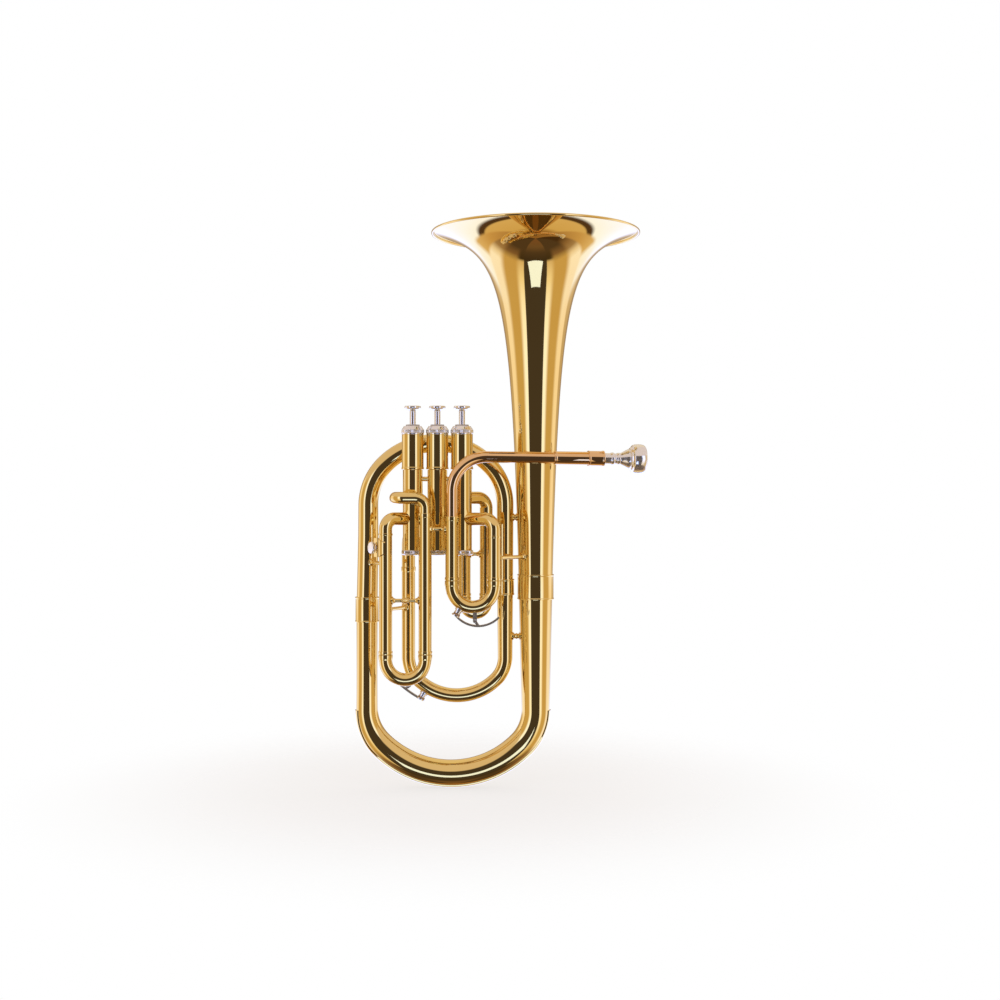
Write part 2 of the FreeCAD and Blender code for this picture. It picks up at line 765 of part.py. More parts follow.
def make_valve_top(number):
    """Stem, button, felts and return spring of one valve."""
    x = valve_x(number)
    foot = "piston_top-1.38"
    stem = turned(f"valve_stem_{number}", [
        (0, 0), ("stem_radius-0.03", 0), ("stem_radius-0.03", "button_bottom-piston_top+1.36"),
        (0, "button_bottom-piston_top+1.36")])
    place(stem, x, "valve_y", foot)
    subpart(stem, f"valve_stem_{number}")
    rim = "button_radius"
    button = turned(f"finger_button_{number}", [
        (0, 0), ("stem_radius+0.6", 0), ("stem_radius+0.9", 0.9), (rim + "-1.4", 1.5),
        (rim + "-0.2", 2.4), (rim, 3.1), (rim + "-0.1", "button_height-0.5"),
        (rim + "-0.7", "button_height"), (rim + "-1.6", "button_height-0.15"),
        (rim + "-2.1", "button_height-0.55"), (0, "button_height-0.7")])
    place(button, x, "valve_y", "button_bottom")
    subpart(button, f"finger_button_{number}")
    felt = turned(f"piston_felt_{number}", [
        ("stem_radius+0.1", 0.02), ("felt_radius+1.4", 0.02), ("felt_radius+1.4", "felt_thickness"),
        ("stem_radius+0.1", "felt_thickness")])
    place(felt, x, "valve_y", "piston_top")
    subpart(felt, f"piston_felt_{number}")
    helix = doc.addObject("Part::Helix", f"valve_spring_{number}_line")
    bind(helix, Pitch="spring_pitch", Radius="spring_radius",
         Height="piston_top-1.4-casing_ledge-guide_thickness-2*spring_wire-0.2")
    section_circle = doc.addObject("Part::Circle", f"valve_spring_{number}_wire")
    bind(section_circle, Radius="spring_wire")
    section_circle.Placement = Placement(Vector(value("spring_radius"), 0, 0), Rotation(RIGHT, 90))
    section_circle.setExpression("Placement.Base.x", linked("spring_radius"))
    coil = doc.addObject("Part::Sweep", f"valve_spring_{number}")
    coil.Sections = [section_circle]
    doc.recompute()
    coil.Spine = (helix, [f"Edge{edge + 1}" for edge in range(len(helix.Shape.Edges))])
    coil.Solid = True
    coil.Frenet = True
    place(coil, x, "valve_y", "casing_ledge+guide_thickness+spring_wire+0.1")
    subpart(coil, f"valve_spring_{number}")


def make_guides_and_felts():
    """Three valve guides on the casing ledges, and the felts under the three buttons."""
    guides = []
    felts = []
    for number in VALVES:
        foot = point(valve_x(number), "valve_y", "casing_ledge+0.02")
        thick = value("guide_thickness")
        disc = Part.makeCylinder(value("guide_radius"), thick, foot)
        reach = value("guide_wing_reach")
        width = value("guide_wing_width")
        wings = Part.makeBox(2 * reach, width, thick, foot - Vector(reach, width / 2, 0))
        wings = wings.common(Part.makeCylinder(reach, thick, foot))
        hole = Part.makeCylinder(value("guide_hole"), thick, foot)
        guides.append(disc.fuse(wings).cut(hole))
        crown = point(valve_x(number), "valve_y", "casing_top+cap_height+0.02")
        washer = Part.makeCylinder(value("felt_radius"), value("felt_thickness"), crown)
        felts.append(washer.cut(Part.makeCylinder(value("stem_hole"), value("felt_thickness"), crown)))
    fitted(Part.makeCompound(guides), "valve_guides")
    fitted(Part.makeCompound(felts), "button_felts")


def make_links_between_casings():
    """Crossover tubes and braces from casing to casing."""
    spaces = [casing_space(number) for number in VALVES]
    knuckles = []
    stays = []
    for number in (1, 2):
        knuckle_foot = point(valve_x(number + 1), "valve_y", "knuckle_z")
        stay_foot = point(valve_x(number + 1), "valve_y", "casing_stay_z")
        length = value("valve_pitch")
        radius = value("knuckle_radius")
        outer = Part.makeCylinder(radius, length, knuckle_foot, RIGHT)
        bore = Part.makeCylinder(value("port_radius"), length, knuckle_foot, RIGHT)
        rod = Part.makeCylinder(value("casing_stay_radius"), length, stay_foot, RIGHT)
        knuckles.append(outer.cut(bore).cut(spaces[number - 1]).cut(spaces[number]))
        stays.append(rod.cut(spaces[number - 1]).cut(spaces[number]))
    fitted(Part.makeCompound(knuckles), "knuckles")
    fitted(Part.makeCompound(stays), "casing_stays")


# ---------------------------------------------------------------- valve slides and main slide

def make_crook(label, spread, legs, x, y, z, rotation=None):
    """U-shaped crook: bend, two rings, and two inner legs that slide in the outer tubes."""
    body = new_body(label)
    profile = sketch_on(body, "XY_Plane", label + "_section")
    circle(profile, 0, 0, "slide_radius")
    circle(profile, 0, 0, "leg_bore")
    path = sketch_on(body, "XZ_Plane", label + "_path")
    radius = f"({spread})/2"
    whole = Part.Circle(Vector(value(radius), 0, 0), UP, value(radius))
    path.addGeometry(Part.ArcOfCircle(whole, math.pi, 2 * math.pi), False)
    pin_coordinate(path, 0, 3, "DistanceX", radius)
    pin_coordinate(path, 0, 3, "DistanceY", 0)
    pin_coordinate(path, 0, 1, "DistanceY", 0)
    pin_coordinate(path, 0, 2, "DistanceY", 0)
    number = path.addConstraint(Sketcher.Constraint("Radius", 0, value(radius)))
    path.setExpression(f"Constraints[{number}]", linked(radius))
    bend = body.newObject("PartDesign::AdditivePipe", label + "_bend")
    bend.Profile = profile
    bend.Spine = (path, ["Edge1"])
    rings = [(leg, 0, size) for leg in (0, spread) for size in ("slide_radius+ring_step", "leg_bore")]
    padded(body, label + "_rings", rings, "ring_length")
    inner = [(leg, 0, size) for leg in (0, spread) for size in ("leg_radius", "leg_bore")]
    padded(body, label + "_legs", inner, f"ring_length+slide_gap+{legs}")
    place(body, x, y, z, rotation)
    subpart(body, label)


def slide_tube(name, corners, radii, rings, radius="slide_radius", casing=None):
    """Outer slide tube with rings round it, cut where it meets a casing."""
    wire = rounded_wire(corners, radii)
    filled = bar(wire, [(0, value(radius))])
    hollow = bar(wire, [(0, value(radius) - value("slide_radius-slide_inner"))])
    start = corners[0]
    axis = (corners[1] - corners[0]).normalize()
    for ring_place, length in rings:
        low = (Vector(ring_place) - start).dot(axis)
        filled = filled.fuse(cylinder(start, axis, value("slide_radius+ring_step"), low, low + length))
    if casing is not None:
        filled = filled.cut(casing_space(casing))
    FILLED[name] = filled
    return filled.cut(hollow)


def make_main_slide():
    """Main tuning slide: leadpipe side on the left, first valve side on the right."""
    bottom = "main_u_top+ring_length+slide_gap"
    ring = value("joint_ring_length")
    left_foot = point("main_left_x", "main_y", bottom)
    left_top = point("main_left_x", "main_y", "main_left_joint")
    left_rings = [(left_foot, 3), (left_top - UP * ring, ring)]
    left = slide_tube("main_left", [left_foot, left_top], [], left_rings)
    right_foot = point("main_right_x", "main_y", bottom)
    joint = point("main_right_x", "main_y", "main_right_joint")
    corners = [right_foot, point("main_right_x", "main_y", "knuckle_z")]
    corners.append(point(valve_x(1), "valve_y", "knuckle_z"))
    bend = [value("elbow_radius")]
    right = slide_tube("main_right", corners, bend, [(right_foot, 3), (joint, 2)], casing=1)
    fitted(Part.makeCompound([left, right]), "main_slide_tubes")
    radius = value("(main_right_x-main_left_x)/2")
    bend = Part.makeTorus(radius, value("slide_radius"), Vector(), BACK)
    bend.translate(point("(main_left_x+main_right_x)/2", "main_y", "main_u_top"))
    FILLED["main_crook"] = bend
    spread = "main_right_x-main_left_x"
    make_crook("main_slide_crook", spread, "main_leg_length", "main_left_x", "main_y", "main_u_top")


def make_first_slide():
    """First valve slide, behind the first valve."""
    tubes = []
    for name, x, port, bend in (("first_left", "first_left_x", "first_port_z", 8),
                                ("first_right", "first_right_x", "first_high_port_z", 10)):
        foot = point(x, "first_y", "first_u_top+ring_length+slide_gap")
        corners = [foot, point(x, "first_y", port), point(valve_x(1), "valve_y", port)]
        joint = point(x, "first_y", port + "-18")
        tubes.append(slide_tube(name, corners, [bend], [(foot, 3), (joint, 2)], casing=1))
    fitted(Part.makeCompound(tubes), "first_slide_tubes")
    spread = "first_right_x-first_left_x"
    make_crook("first_slide_crook", spread, "first_leg_length", "first_left_x", "first_y",
               "first_u_top")


def make_second_slide():
    """Short second valve slide, pointing back from the second valve."""
    tubes = []
    for name, height in (("second_low", "second_low_z"), ("second_high", "second_high_z")):
        end = point(valve_x(2), "second_tube_end", height)
        corners = [end, point(valve_x(2), "valve_y", height)]
        tubes.append(slide_tube(name, corners, [], [(end, 3)], casing=2))
    fitted(Part.makeCompound(tubes), "second_slide_tubes")
    turn = Rotation(UP, -RIGHT, -BACK, "XYZ")
    make_crook("second_slide_crook", "second_high_z-second_low_z", "second_leg_length", valve_x(2),
               "second_tube_end+ring_length+slide_gap", "second_low_z", turn)


def make_third_slide():
    """Long third valve slide in front, whose upper tube turns round the third casing."""
    bottom = "third_u_top+ring_length+slide_gap"
    foot = point("third_left_x", "third_y", bottom)
    corners = [foot, point("third_left_x", "third_y", "third_left_port_z")]
    corners.append(point(valve_x(3), "valve_y", "third_left_port_z"))
    joint = point("third_left_x", "third_y", "third_left_joint-2")
    bend = [value("elbow_radius")]
    left = slide_tube("third_left", corners, bend, [(foot, 3), (joint, 2)], casing=3)
    foot = point("third_right_x", "third_y", bottom)
    joint = point("third_right_x", "third_y", "third_right_joint")
    ring = value("joint_ring_length")
    right = slide_tube("third_right", [foot, joint], [], [(foot, 3), (joint - UP * ring, ring)])
    turn = value("third_turn_radius")
    corners = [joint, point("third_right_x", "third_y", "upper_port_z")]
    corners.append(point("third_turn_x", "third_y", "upper_port_z"))
    corners.append(point("third_turn_x", "valve_y", "upper_port_z"))
    corners.append(point(valve_x(3), "valve_y", "upper_port_z"))
    upper = slide_tube("third_upper", corners, [value("elbow_radius"), turn, turn], [],
                       radius="third_upper_radius", casing=3)
    fitted(Part.makeCompound([left, right.fuse(upper)]), "third_slide_tubes")
    spread = "third_right_x-third_left_x"
    make_crook("third_slide_crook", spread, "third_leg_length", "third_left_x", "third_y",
               "third_u_top")


# ---------------------------------------------------------------- leadpipe and mouthpiece

def lead_place(distance):
    """Expressions for a place along the leadpipe's straight part, from its corner."""
    level = f"({distance})*cos(lead_droop)"
    x = f"main_left_x+{level}*cos(lead_yaw)"
    y = f"main_y+{level}*sin(lead_yaw)"
    z = f"lead_z-({distance})*sin(lead_droop)"
    return x, y, z


def make_leadpipe():
    """Leadpipe from the main slide up and over in front of the bell."""
    corners = [point("main_left_x", "main_y", "main_left_joint-4")]
    corners.append(point(*lead_place(0)))
    corners.append(point(*lead_place("receiver_start+11")))
    wire = rounded_wire(corners, [value("lead_bend_radius")])
    taper = [(0, value("lead_low_radius")), (1, value("lead_radius"))]
    FILLED["leadpipe"] = bar(wire, taper)
    fitted(tube(wire, taper, value("tube_wall")), "leadpipe")
    along = (corners[2] - corners[1]).normalize()
    turn = Rotation(UP, along)
    outer = "receiver_radius"
    sleeve = "receiver_length-receiver_sleeve"
    wide = "receiver_sleeve_radius"
    mouth = "receiver_length-mouthpiece_insert-1"
    receiver = turned("mouthpiece_receiver", [
        ("lead_radius+0.08", 0), (outer + "-0.2", 0), (outer + "+0.2", 0.6), (outer + "+0.2", 1.8),
        (outer, 2.4), (outer, sleeve), (wide + "+0.3", sleeve), (wide + "+0.3", sleeve + "+1.2"),
        (wide, sleeve + "+1.8"), (wide, "receiver_length-2.2"), (wide + "+0.4", "receiver_length-1.6"),
        (wide + "+0.4", "receiver_length"), ("receiver_bore", "receiver_length"),
        ("receiver_bore-0.35", mouth), ("receiver_bore-0.85", mouth), ("receiver_bore-0.85", 11.5),
        ("lead_radius+0.08", 11.5)])
    place(receiver, *lead_place("receiver_start"), turn)
    subpart(receiver, "mouthpiece_receiver")
    shank = "receiver_bore-0.07"
    inset = "mouthpiece_insert"
    mouthpiece = turned("mouthpiece", [
        (3.6, 0), (shank + "-0.334", 0), (shank, inset), (shank + "+0.05", inset + "+6.6"),
        (shank + "+0.75", inset + "+7.1"), (shank + "+0.75", inset + "+9.6"),
        (shank + "-0.2", inset + "+10.1"), (4.9, inset + "+12.6"), (5.7, inset + "+13.1"),
        (5.7, inset + "+15.2"), (5.2, inset + "+15.7"), (6.3, inset + "+18"), (8.2, inset + "+21.5"),
        (9.4, inset + "+24"), (9.0, inset + "+24.4"), (9.0, inset + "+25"), (10.5, inset + "+25.5"),
        (11.3, inset + "+27"), (13.2, inset + "+28"), (14.0, inset + "+30.2"),
        (14.25, inset + "+33.5"), (14.1, inset + "+36.4"), (13.7, inset + "+38.4"),
        (12.9, inset + "+39.8"), (11.5, inset + "+40.5"), (9.7, inset + "+40"),
        (8.9, inset + "+38.7"), (8.6, inset + "+36.4"), (8.0, inset + "+33"), (6.6, inset + "+28.4"),
        (4.4, inset + "+23.6"), (2.6, inset + "+20.4"), (2.3, inset + "+18"), (2.4, inset + "+14")])
    place(mouthpiece, *lead_place("receiver_start+receiver_length-mouthpiece_insert"), turn)
    subpart(mouthpiece, "mouthpiece")


# ---------------------------------------------------------------- braces

def stay(start, start_radius, end, end_radius, tubes, bead=False):
    """Brace with a flared foot on each tube; the feet follow the tubes that they meet."""
    axis = (end - start).normalize()
    length = (end - start).Length
    rod = value("stay_radius")
    foot = value("stay_foot_radius")
    flare = value("stay_foot_length")
    shapes = []
    for centre, outward, radius in ((start, axis, start_radius), (end, -axis, end_radius)):
        shapes.append(cylinder(centre, outward, foot, radius - 1.5, radius + 0.7))
        shapes.append(Part.makeCone(foot, rod, flare, centre + outward * (radius + 0.7), outward))
    if bead:
        shapes.append(cylinder(start, axis, rod + 1, length / 2 - 1, length / 2 + 1))
    shape = cylinder(start, axis, rod, start_radius - 1, length - end_radius + 1).fuse(shapes)
    for name in tubes:
        shape = shape.cut(FILLED[name])
    return shape


def make_stays():
    """All soldered braces between the tubes, as one group of separate solids."""
    slide = value("slide_radius")
    stays = []

    def between(first, first_radius, second, second_radius, tubes, bead=False):
        stays.append(stay(first, first_radius, second, second_radius, tubes, bead))

    bell_low = bell_radius(value("bell_stay_z"))
    bell_high = bell_radius(value("upper_bell_stay_z"))
    between(point("main_right_x", "main_y", "bell_stay_z"), slide,
            point("bell_x", 0, "bell_stay_z"), bell_low, ["main_right", "bell"])
    between(point("inner_x", 0, "upper_bell_stay_z"), value("inner_joint_radius+0.3"),
            point("bell_x", 0, "upper_bell_stay_z"), bell_high, ["top_bow", "bell"])
    between(point("inner_x", 0, "bow_stay_z"), value("medium_right_radius+0.2"),
            point("bell_x", 0, "bow_stay_z"), value("bell_ferrule_radius-1.5"),
            ["medium_bow", "bottom_bow"])
    between(point("third_left_x", "third_y", "third_stay_z"), slide,
            point("third_right_x", "third_y", "third_stay_z"), slide,
            ["third_left", "third_right"], bead=True)
    between(point("third_left_x", "third_y", "third_bow_stay_z"), slide,
            point("medium_left_x", 0, "third_bow_stay_z"), value("medium_left_radius"),
            ["third_left", "medium_bow"])
    between(point("third_right_x", "third_y", "main_stay_z"), slide,
            point("main_left_x", "main_y", "main_stay_z"), slide, ["third_right", "main_left"])
    between(point("first_left_x", "first_y", "first_stay_z"), slide,
            point("first_right_x", "first_y", "first_stay_z"), slide,
            ["first_left", "first_right"])
    between(point("left_x+0.9", 0, "left_leg_stay_z"), value("top_left_radius+0.3"),
            point("third_left_x", "third_y", "left_leg_stay_z"), slide, ["top_bow", "third_left"])
    fitted(Part.makeCompound(stays), "tube_stays")


# ---------------------------------------------------------------- lyre socket and water keys

def make_lyre_socket():
    """Box for a music lyre's stem, its arm and saddle on the third slide, and its thumb screw."""
    width = value("lyre_width")
    block = Part.makeBox(width, width, value("lyre_height"), Vector(-width / 2, -width / 2, 0))
    upright = [edge for edge in block.Edges if abs(edge.tangentAt(0).z) > 0.9]
    block = block.makeFillet(1.2, upright)
    block.Placement = Placement(point("lyre_x", "lyre_y", "lyre_bottom"),
                                Rotation(UP, value("lyre_yaw")))
    outward = in_plan(180 + value("lyre_yaw"))
    middle = point("lyre_x", "lyre_y", "screw_z")
    tube_centre = point("third_left_x", "third_y", "screw_z")
    axis = (tube_centre - middle).normalize()
    reach = (tube_centre - middle).Length
    arm = cylinder(middle, axis, value("stay_radius+0.4"), 0, reach - 3)
    saddle_high = value("saddle_radius")
    saddle = cylinder(tube_centre, UP, value("slide_radius+saddle_thickness"), -saddle_high, saddle_high)
    saddle = saddle.common(cylinder(tube_centre, -RIGHT, saddle_high, 0, saddle_high))
    arm = arm.fuse(saddle).cut(FILLED["third_left"])
    bore = Part.makeCylinder(value("lyre_bore"), 40, point("lyre_x", "lyre_y", "lyre_bottom-10"))
    hole = cylinder(middle, outward, value("screw_radius+screw_clearance"), 0, width)
    fitted(block.fuse(arm).cut(bore).cut(hole), "lyre_socket")
    near = "lyre_width/2-lyre_bore-0.2"
    far = near + "+0.5"
    rim = "knob_radius"
    screw = turned("lyre_screw", [
        (0, 0), ("screw_radius", 0), ("screw_radius", far), (rim + "-2.4", far),
        (rim + "-2.0", far + "+1.4"), (rim, far + "+1.9"), (rim, far + "+4.4"),
        (rim + "-0.6", far + "+5.1"), (0, far + "+5.1")])
    start = "(lyre_bore+0.2)"
    place(screw, f"lyre_x-{start}*cos(lyre_yaw)", f"lyre_y-{start}*sin(lyre_yaw)", "screw_z",
          Rotation(UP, outward))
    subpart(screw, "lyre_screw")


def flat_strip(first, middle, last, width, thick):
    """Bent flat strip along an arc through three places of the XZ plane."""
    path = Part.Wire([Part.Arc(first, middle, last).toShape()])
    edge = path.Edges[0]
    normal = edge.tangentAt(edge.FirstParameter).cross(BACK)
    across = BACK * (width / 2)
    away = normal * (thick / 2)
    loop = [first + across + away, first - across + away, first - across - away]
    loop += [first + across - away, first + across + away]
    return path.makePipeShell([Part.makePolygon(loop)], True, False)


def flat_plate(centre, across, along, width, length, low, thick):
    """Plate in the XZ plane: it starts at a centre, runs along, and is as thick as asked in Y."""
    start = centre + BACK * low
    loop = [start - across * (width / 2), start + across * (width / 2)]
    loop += [loop[1] + along * length, loop[0] + along * length, loop[0]]
    return Part.Face(Part.makePolygon(loop)).extrude(BACK * thick)


def make_key(name, tube, root, outward, pivot, ear_direction, middle, finger):
    """Water key: nipple and ears on a tube, then its pin, lever, cork and torsion spring.

    The lever runs from the pad over the nipple, through the middle place, to the finger end.
    """
    width = value("key_width")
    gap = value("key_ear_gap")
    ear = value("key_ear_thickness")
    pin_radius = value("key_pin_radius")
    height = value("nipple_height")
    cork = value("cork_thickness")
    pad = value("key_pad_thickness")
    seat = -value("nipple_seat")
    nipple = cylinder(root, outward, value("nipple_radius"), seat, height)
    nipple = nipple.fuse(cylinder(root, outward, value("nipple_radius+nipple_flange"), seat, 0.6))
    nipple = nipple.cut(FILLED[tube]).cut(cylinder(root, outward, value("nipple_bore"), -6, 20))
    across = ear_direction.cross(BACK)
    ears = []
    for side in (-gap / 2 - ear, gap / 2):
        plate = cylinder(pivot, BACK, 1.9, side, side + ear)
        web = flat_plate(pivot, across, -ear_direction, 3.8, 9, side, ear)
        plate = plate.fuse(web).cut(cylinder(pivot, BACK, pin_radius + 0.02, side - 1, side + ear + 1))
        ears.append(plate.cut(FILLED[tube]))
    fitted(Part.makeCompound([nipple] + ears), name + "_key_fittings")
    end = gap / 2 + ear
    fitted(cylinder(pivot, BACK, pin_radius, -end - 3.2, end + 0.4), name + "_key_pin")
    pad_place = root + outward * (height + cork + 0.1)
    first = pad_place + outward * (pad / 2)
    lever = flat_strip(first, middle, finger, width, value("key_thickness"))
    lever = lever.fuse(cylinder(pad_place, outward, value("key_pad_radius"), 0, pad))
    lever = lever.fuse(cylinder(pivot, BACK, 1.8, -width / 2, width / 2))
    towards = (middle - pivot).normalize()
    reach = (middle - pivot).Length
    lever = lever.fuse(flat_plate(pivot, towards.cross(BACK), towards, 2.4, reach, -width / 2, width))
    lever = lever.cut(cylinder(pivot, BACK, pin_radius + 0.06, -width, width))
    cork_space = cylinder(root, outward, value("cork_radius") + 0.1, 0, height + cork + 0.1)
    lever = lever.cut(cork_space)
    fitted(lever, name + "_key_lever")
    cork_foot = root + outward * (height + 0.05)
    fitted(cylinder(cork_foot, outward, value("cork_radius"), 0, cork), name + "_key_cork")
    wire = value("key_spring_wire")
    coil_radius = pin_radius + wire + 0.15
    helix = Part.makeHelix(2.4 * wire, 7.2 * wire, coil_radius)
    ring = Part.Wire([Part.Circle(Vector(coil_radius, 0, 0), BACK, wire).toShape()])
    coil = Part.Wire(helix.Edges).makePipeShell([ring], True, True)
    coil.Placement = Placement(pivot - BACK * (end + wire + 0.1), Rotation(UP, -BACK))
    fitted(coil, name + "_key_spring")


def make_water_keys():
    """Water keys under the main slide's crook and at the medium bow's lower left."""
    centre = point("(main_left_x+main_right_x)/2", "main_y", "main_u_top")
    radius = value("(main_right_x-main_left_x)/2+slide_radius")
    outward = in_plane(value("main_key_angle"))
    pivot = point("main_key_pivot_x", "main_y", "main_key_pivot_z")
    make_key("main", "main_crook", centre + outward * radius, outward, pivot, -UP,
             point("main_key_middle_x", "main_y", "main_key_middle_z"),
             point("main_key_finger_x", "main_y", "main_key_finger_z"))
    _, radii = half_bow(value("medium_left_x"), value("inner_x"), 0, value("medium_rise"), -1)
    small, large, _ = radii
    outward = in_plane(value("bow_key_angle"))
    root = point("(medium_left_x+inner_x)/2", 0, "medium_base-medium_rise")
    root = root + UP * large + outward * (large + value("medium_left_radius+0.4"))
    ear = in_plane(value("bow_key_ear_angle"))
    pivot = point("medium_left_x", 0, "medium_base") + RIGHT * small
    pivot = pivot + ear * (small + value("medium_left_radius+bow_key_pivot_height"))
    make_key("bow", "medium_bow", root, outward, pivot, ear,
             point("bow_key_middle_x", 0, "bow_key_middle_z"),
             point("bow_key_finger_x", 0, "bow_key_finger_z"))


# ---------------------------------------------------------------- the whole horn

make_bell()
make_bottom_bow()
make_top_bow()
make_medium_bow()
make_ferrules()
for valve in VALVES:
    make_casing(valve)
    make_caps(valve)
    make_piston(valve)
    make_valve_top(valve)
make_guides_and_felts()
make_links_between_casings()
make_main_slide()
make_first_slide()
make_second_slide()
make_third_slide()
make_leadpipe()
make_stays()
make_lyre_socket()
make_water_keys()
doc.recompute()

for item in doc.Objects:
    if "Invalid" in item.State or "Error" in item.State:
        raise RuntimeError(f"{item.Label} failed: {item.State}")
for item in SUBPARTS:
    if item.Shape.isNull() or not item.Shape.isValid():
        raise RuntimeError(f"{item.Label} has no valid shape")

os.makedirs("parts", exist_ok=True)
for item in SUBPARTS:
    item.Shape.exportStep(f"parts/{item.Label}.step")
print(len(SUBPARTS), "sub-parts written")
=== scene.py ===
"""Looks of a tenor horn with three valves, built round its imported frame. Metres, +Z up, valves at -Y."""

import json
import math

import bmesh
import bpy
from mathutils import Matrix, Vector


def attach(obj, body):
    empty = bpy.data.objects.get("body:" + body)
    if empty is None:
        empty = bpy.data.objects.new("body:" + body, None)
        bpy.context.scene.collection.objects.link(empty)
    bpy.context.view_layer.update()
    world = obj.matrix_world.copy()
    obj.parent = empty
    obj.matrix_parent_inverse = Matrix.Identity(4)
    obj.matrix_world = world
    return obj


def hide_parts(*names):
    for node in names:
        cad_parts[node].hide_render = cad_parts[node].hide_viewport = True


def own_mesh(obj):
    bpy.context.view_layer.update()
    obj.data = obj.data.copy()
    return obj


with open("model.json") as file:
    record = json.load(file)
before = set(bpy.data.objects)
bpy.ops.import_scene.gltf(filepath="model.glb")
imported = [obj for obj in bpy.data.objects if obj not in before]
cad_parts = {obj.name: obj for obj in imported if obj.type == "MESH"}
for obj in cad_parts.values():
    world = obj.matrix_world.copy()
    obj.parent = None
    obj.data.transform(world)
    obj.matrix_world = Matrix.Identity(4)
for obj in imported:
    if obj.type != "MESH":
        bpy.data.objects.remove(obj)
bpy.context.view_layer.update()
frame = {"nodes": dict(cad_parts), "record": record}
NODES = frame["nodes"]
MM = 0.001

CAMERA_PLACE = (0.0474, -1.444, 0.2794)
CAMERA_LENS = 53.4

# Linear colours of the metals and the soft parts.
BRASS = (0.87, 0.66, 0.25)
BRASS_WARM = (0.86, 0.63, 0.23)
GOLD_BRASS = (0.87, 0.58, 0.29)
GOLD_BRASS_WARM = (0.86, 0.55, 0.26)
SILVER = (0.93, 0.90, 0.84)
SILVER_WARM = (0.90, 0.87, 0.80)
NICKEL = (0.74, 0.72, 0.66)
NICKEL_DARK = (0.60, 0.58, 0.52)
STEEL = (0.55, 0.55, 0.56)
STEEL_DARK = (0.38, 0.37, 0.36)
FELT = (0.78, 0.74, 0.66)
FELT_DARK = (0.55, 0.50, 0.42)
CORK = (0.52, 0.33, 0.17)
CORK_DARK = (0.20, 0.11, 0.05)
PLASTIC = (0.80, 0.80, 0.76)
PLASTIC_DARK = (0.68, 0.68, 0.62)


# ---------------------------------------------------------------- node helpers


class Tree:
    """Adds nodes to a material's or world's tree, one line for each."""

    def __init__(self, owner):
        owner.use_nodes = True
        self.tree = owner.node_tree
        self.tree.nodes.clear()

    def add(self, kind, **settings):
        node = self.tree.nodes.new(kind)
        for name, setting in settings.items():
            setattr(node, name, setting)
        return node

    def link(self, source, target):
        self.tree.links.new(source, target)

    def math(self, operation, *inputs):
        node = self.add("ShaderNodeMath", operation=operation)
        for socket, given in zip(node.inputs, inputs):
            if isinstance(given, (int, float)):
                socket.default_value = given
            else:
                self.link(given, socket)
        return node.outputs[0]

    def ramp(self, factor, stops, interpolation="LINEAR"):
        node = self.add("ShaderNodeValToRGB")
        node.color_ramp.interpolation = interpolation
        elements = node.color_ramp.elements
        while len(elements) < len(stops):
            elements.new(0.5)
        for element, (position, colour) in zip(elements, stops):
            element.position = position
            element.color = colour if len(colour) == 4 else (*colour, 1)
        self.link(factor, node.inputs["Fac"])
        return node.outputs["Color"]

    def mix(self, factor, first, second):
        node = self.add("ShaderNodeMix", data_type="RGBA")
        for socket, given in zip((node.inputs[0], node.inputs[6], node.inputs[7]), (factor, first, second)):
            if isinstance(given, (int, float)):
                socket.default_value = given
            elif isinstance(given, tuple):
                socket.default_value = (*given, 1)
            else:
                self.link(given, socket)
        return node.outputs[2]

    def noise(self, place, scale, detail=3.0, roughness=0.5):
        node = self.add("ShaderNodeTexNoise")
        node.inputs["Scale"].default_value = scale
        node.inputs["Detail"].default_value = detail
        node.inputs["Roughness"].default_value = roughness
        self.link(place, node.inputs["Vector"])
        return node.outputs["Fac"]

    def bump(self, height, strength, distance, below=None):
        node = self.add("ShaderNodeBump")
        node.inputs["Strength"].default_value = strength
        node.inputs["Distance"].default_value = distance
        self.link(height, node.inputs["Height"])
        if below is not None:
            self.link(below, node.inputs["Normal"])
        return node.outputs["Normal"]

    def ranged(self, factor, low, high):
        node = self.add("ShaderNodeMapRange")
        node.inputs["To Min"].default_value = low
        node.inputs["To Max"].default_value = high
        self.link(factor, node.inputs["Value"])
        return node.outputs["Result"]


def surface(name):
    """A new material: its tree, its shader and the place on the object in metres."""
    material = bpy.data.materials.new(name)
    tree = Tree(material)
    shader = tree.add("ShaderNodeBsdfPrincipled")
    output = tree.add("ShaderNodeOutputMaterial")
    tree.link(shader.outputs[0], output.inputs["Surface"])
    place = tree.add("ShaderNodeTexCoord").outputs["Object"]
    return material, tree, shader, place


# ---------------------------------------------------------------- materials


def metal(name, clean, warm, smooth, worn, ripple=0.0, lacquer=0.0, metallic=1.0):
    """Polished metal: slow colour drift, hand-polish ripple, faint wipe marks and an optional clear coat."""
    material, tree, shader, place = surface(name)
    drift = tree.noise(place, 22.0, 2.0)
    tree.link(tree.ramp(drift, [(0.35, clean), (0.7, warm)]), shader.inputs["Base Color"])
    smudge = tree.noise(place, 70.0, 5.0, 0.6)
    tree.link(tree.ranged(smudge, smooth, worn), shader.inputs["Roughness"])
    shader.inputs["Metallic"].default_value = metallic
    shader.inputs["Coat Weight"].default_value = lacquer
    shader.inputs["Coat Roughness"].default_value = 0.03
    shader.inputs["Coat IOR"].default_value = 1.5
    waves = tree.bump(tree.noise(place, 55.0, 1.0), ripple, 0.2 * MM)
    wipes = tree.bump(tree.noise(place, 900.0, 4.0, 0.7), 0.02, 0.02 * MM, waves)
    tree.link(wipes, shader.inputs["Normal"])
    return material


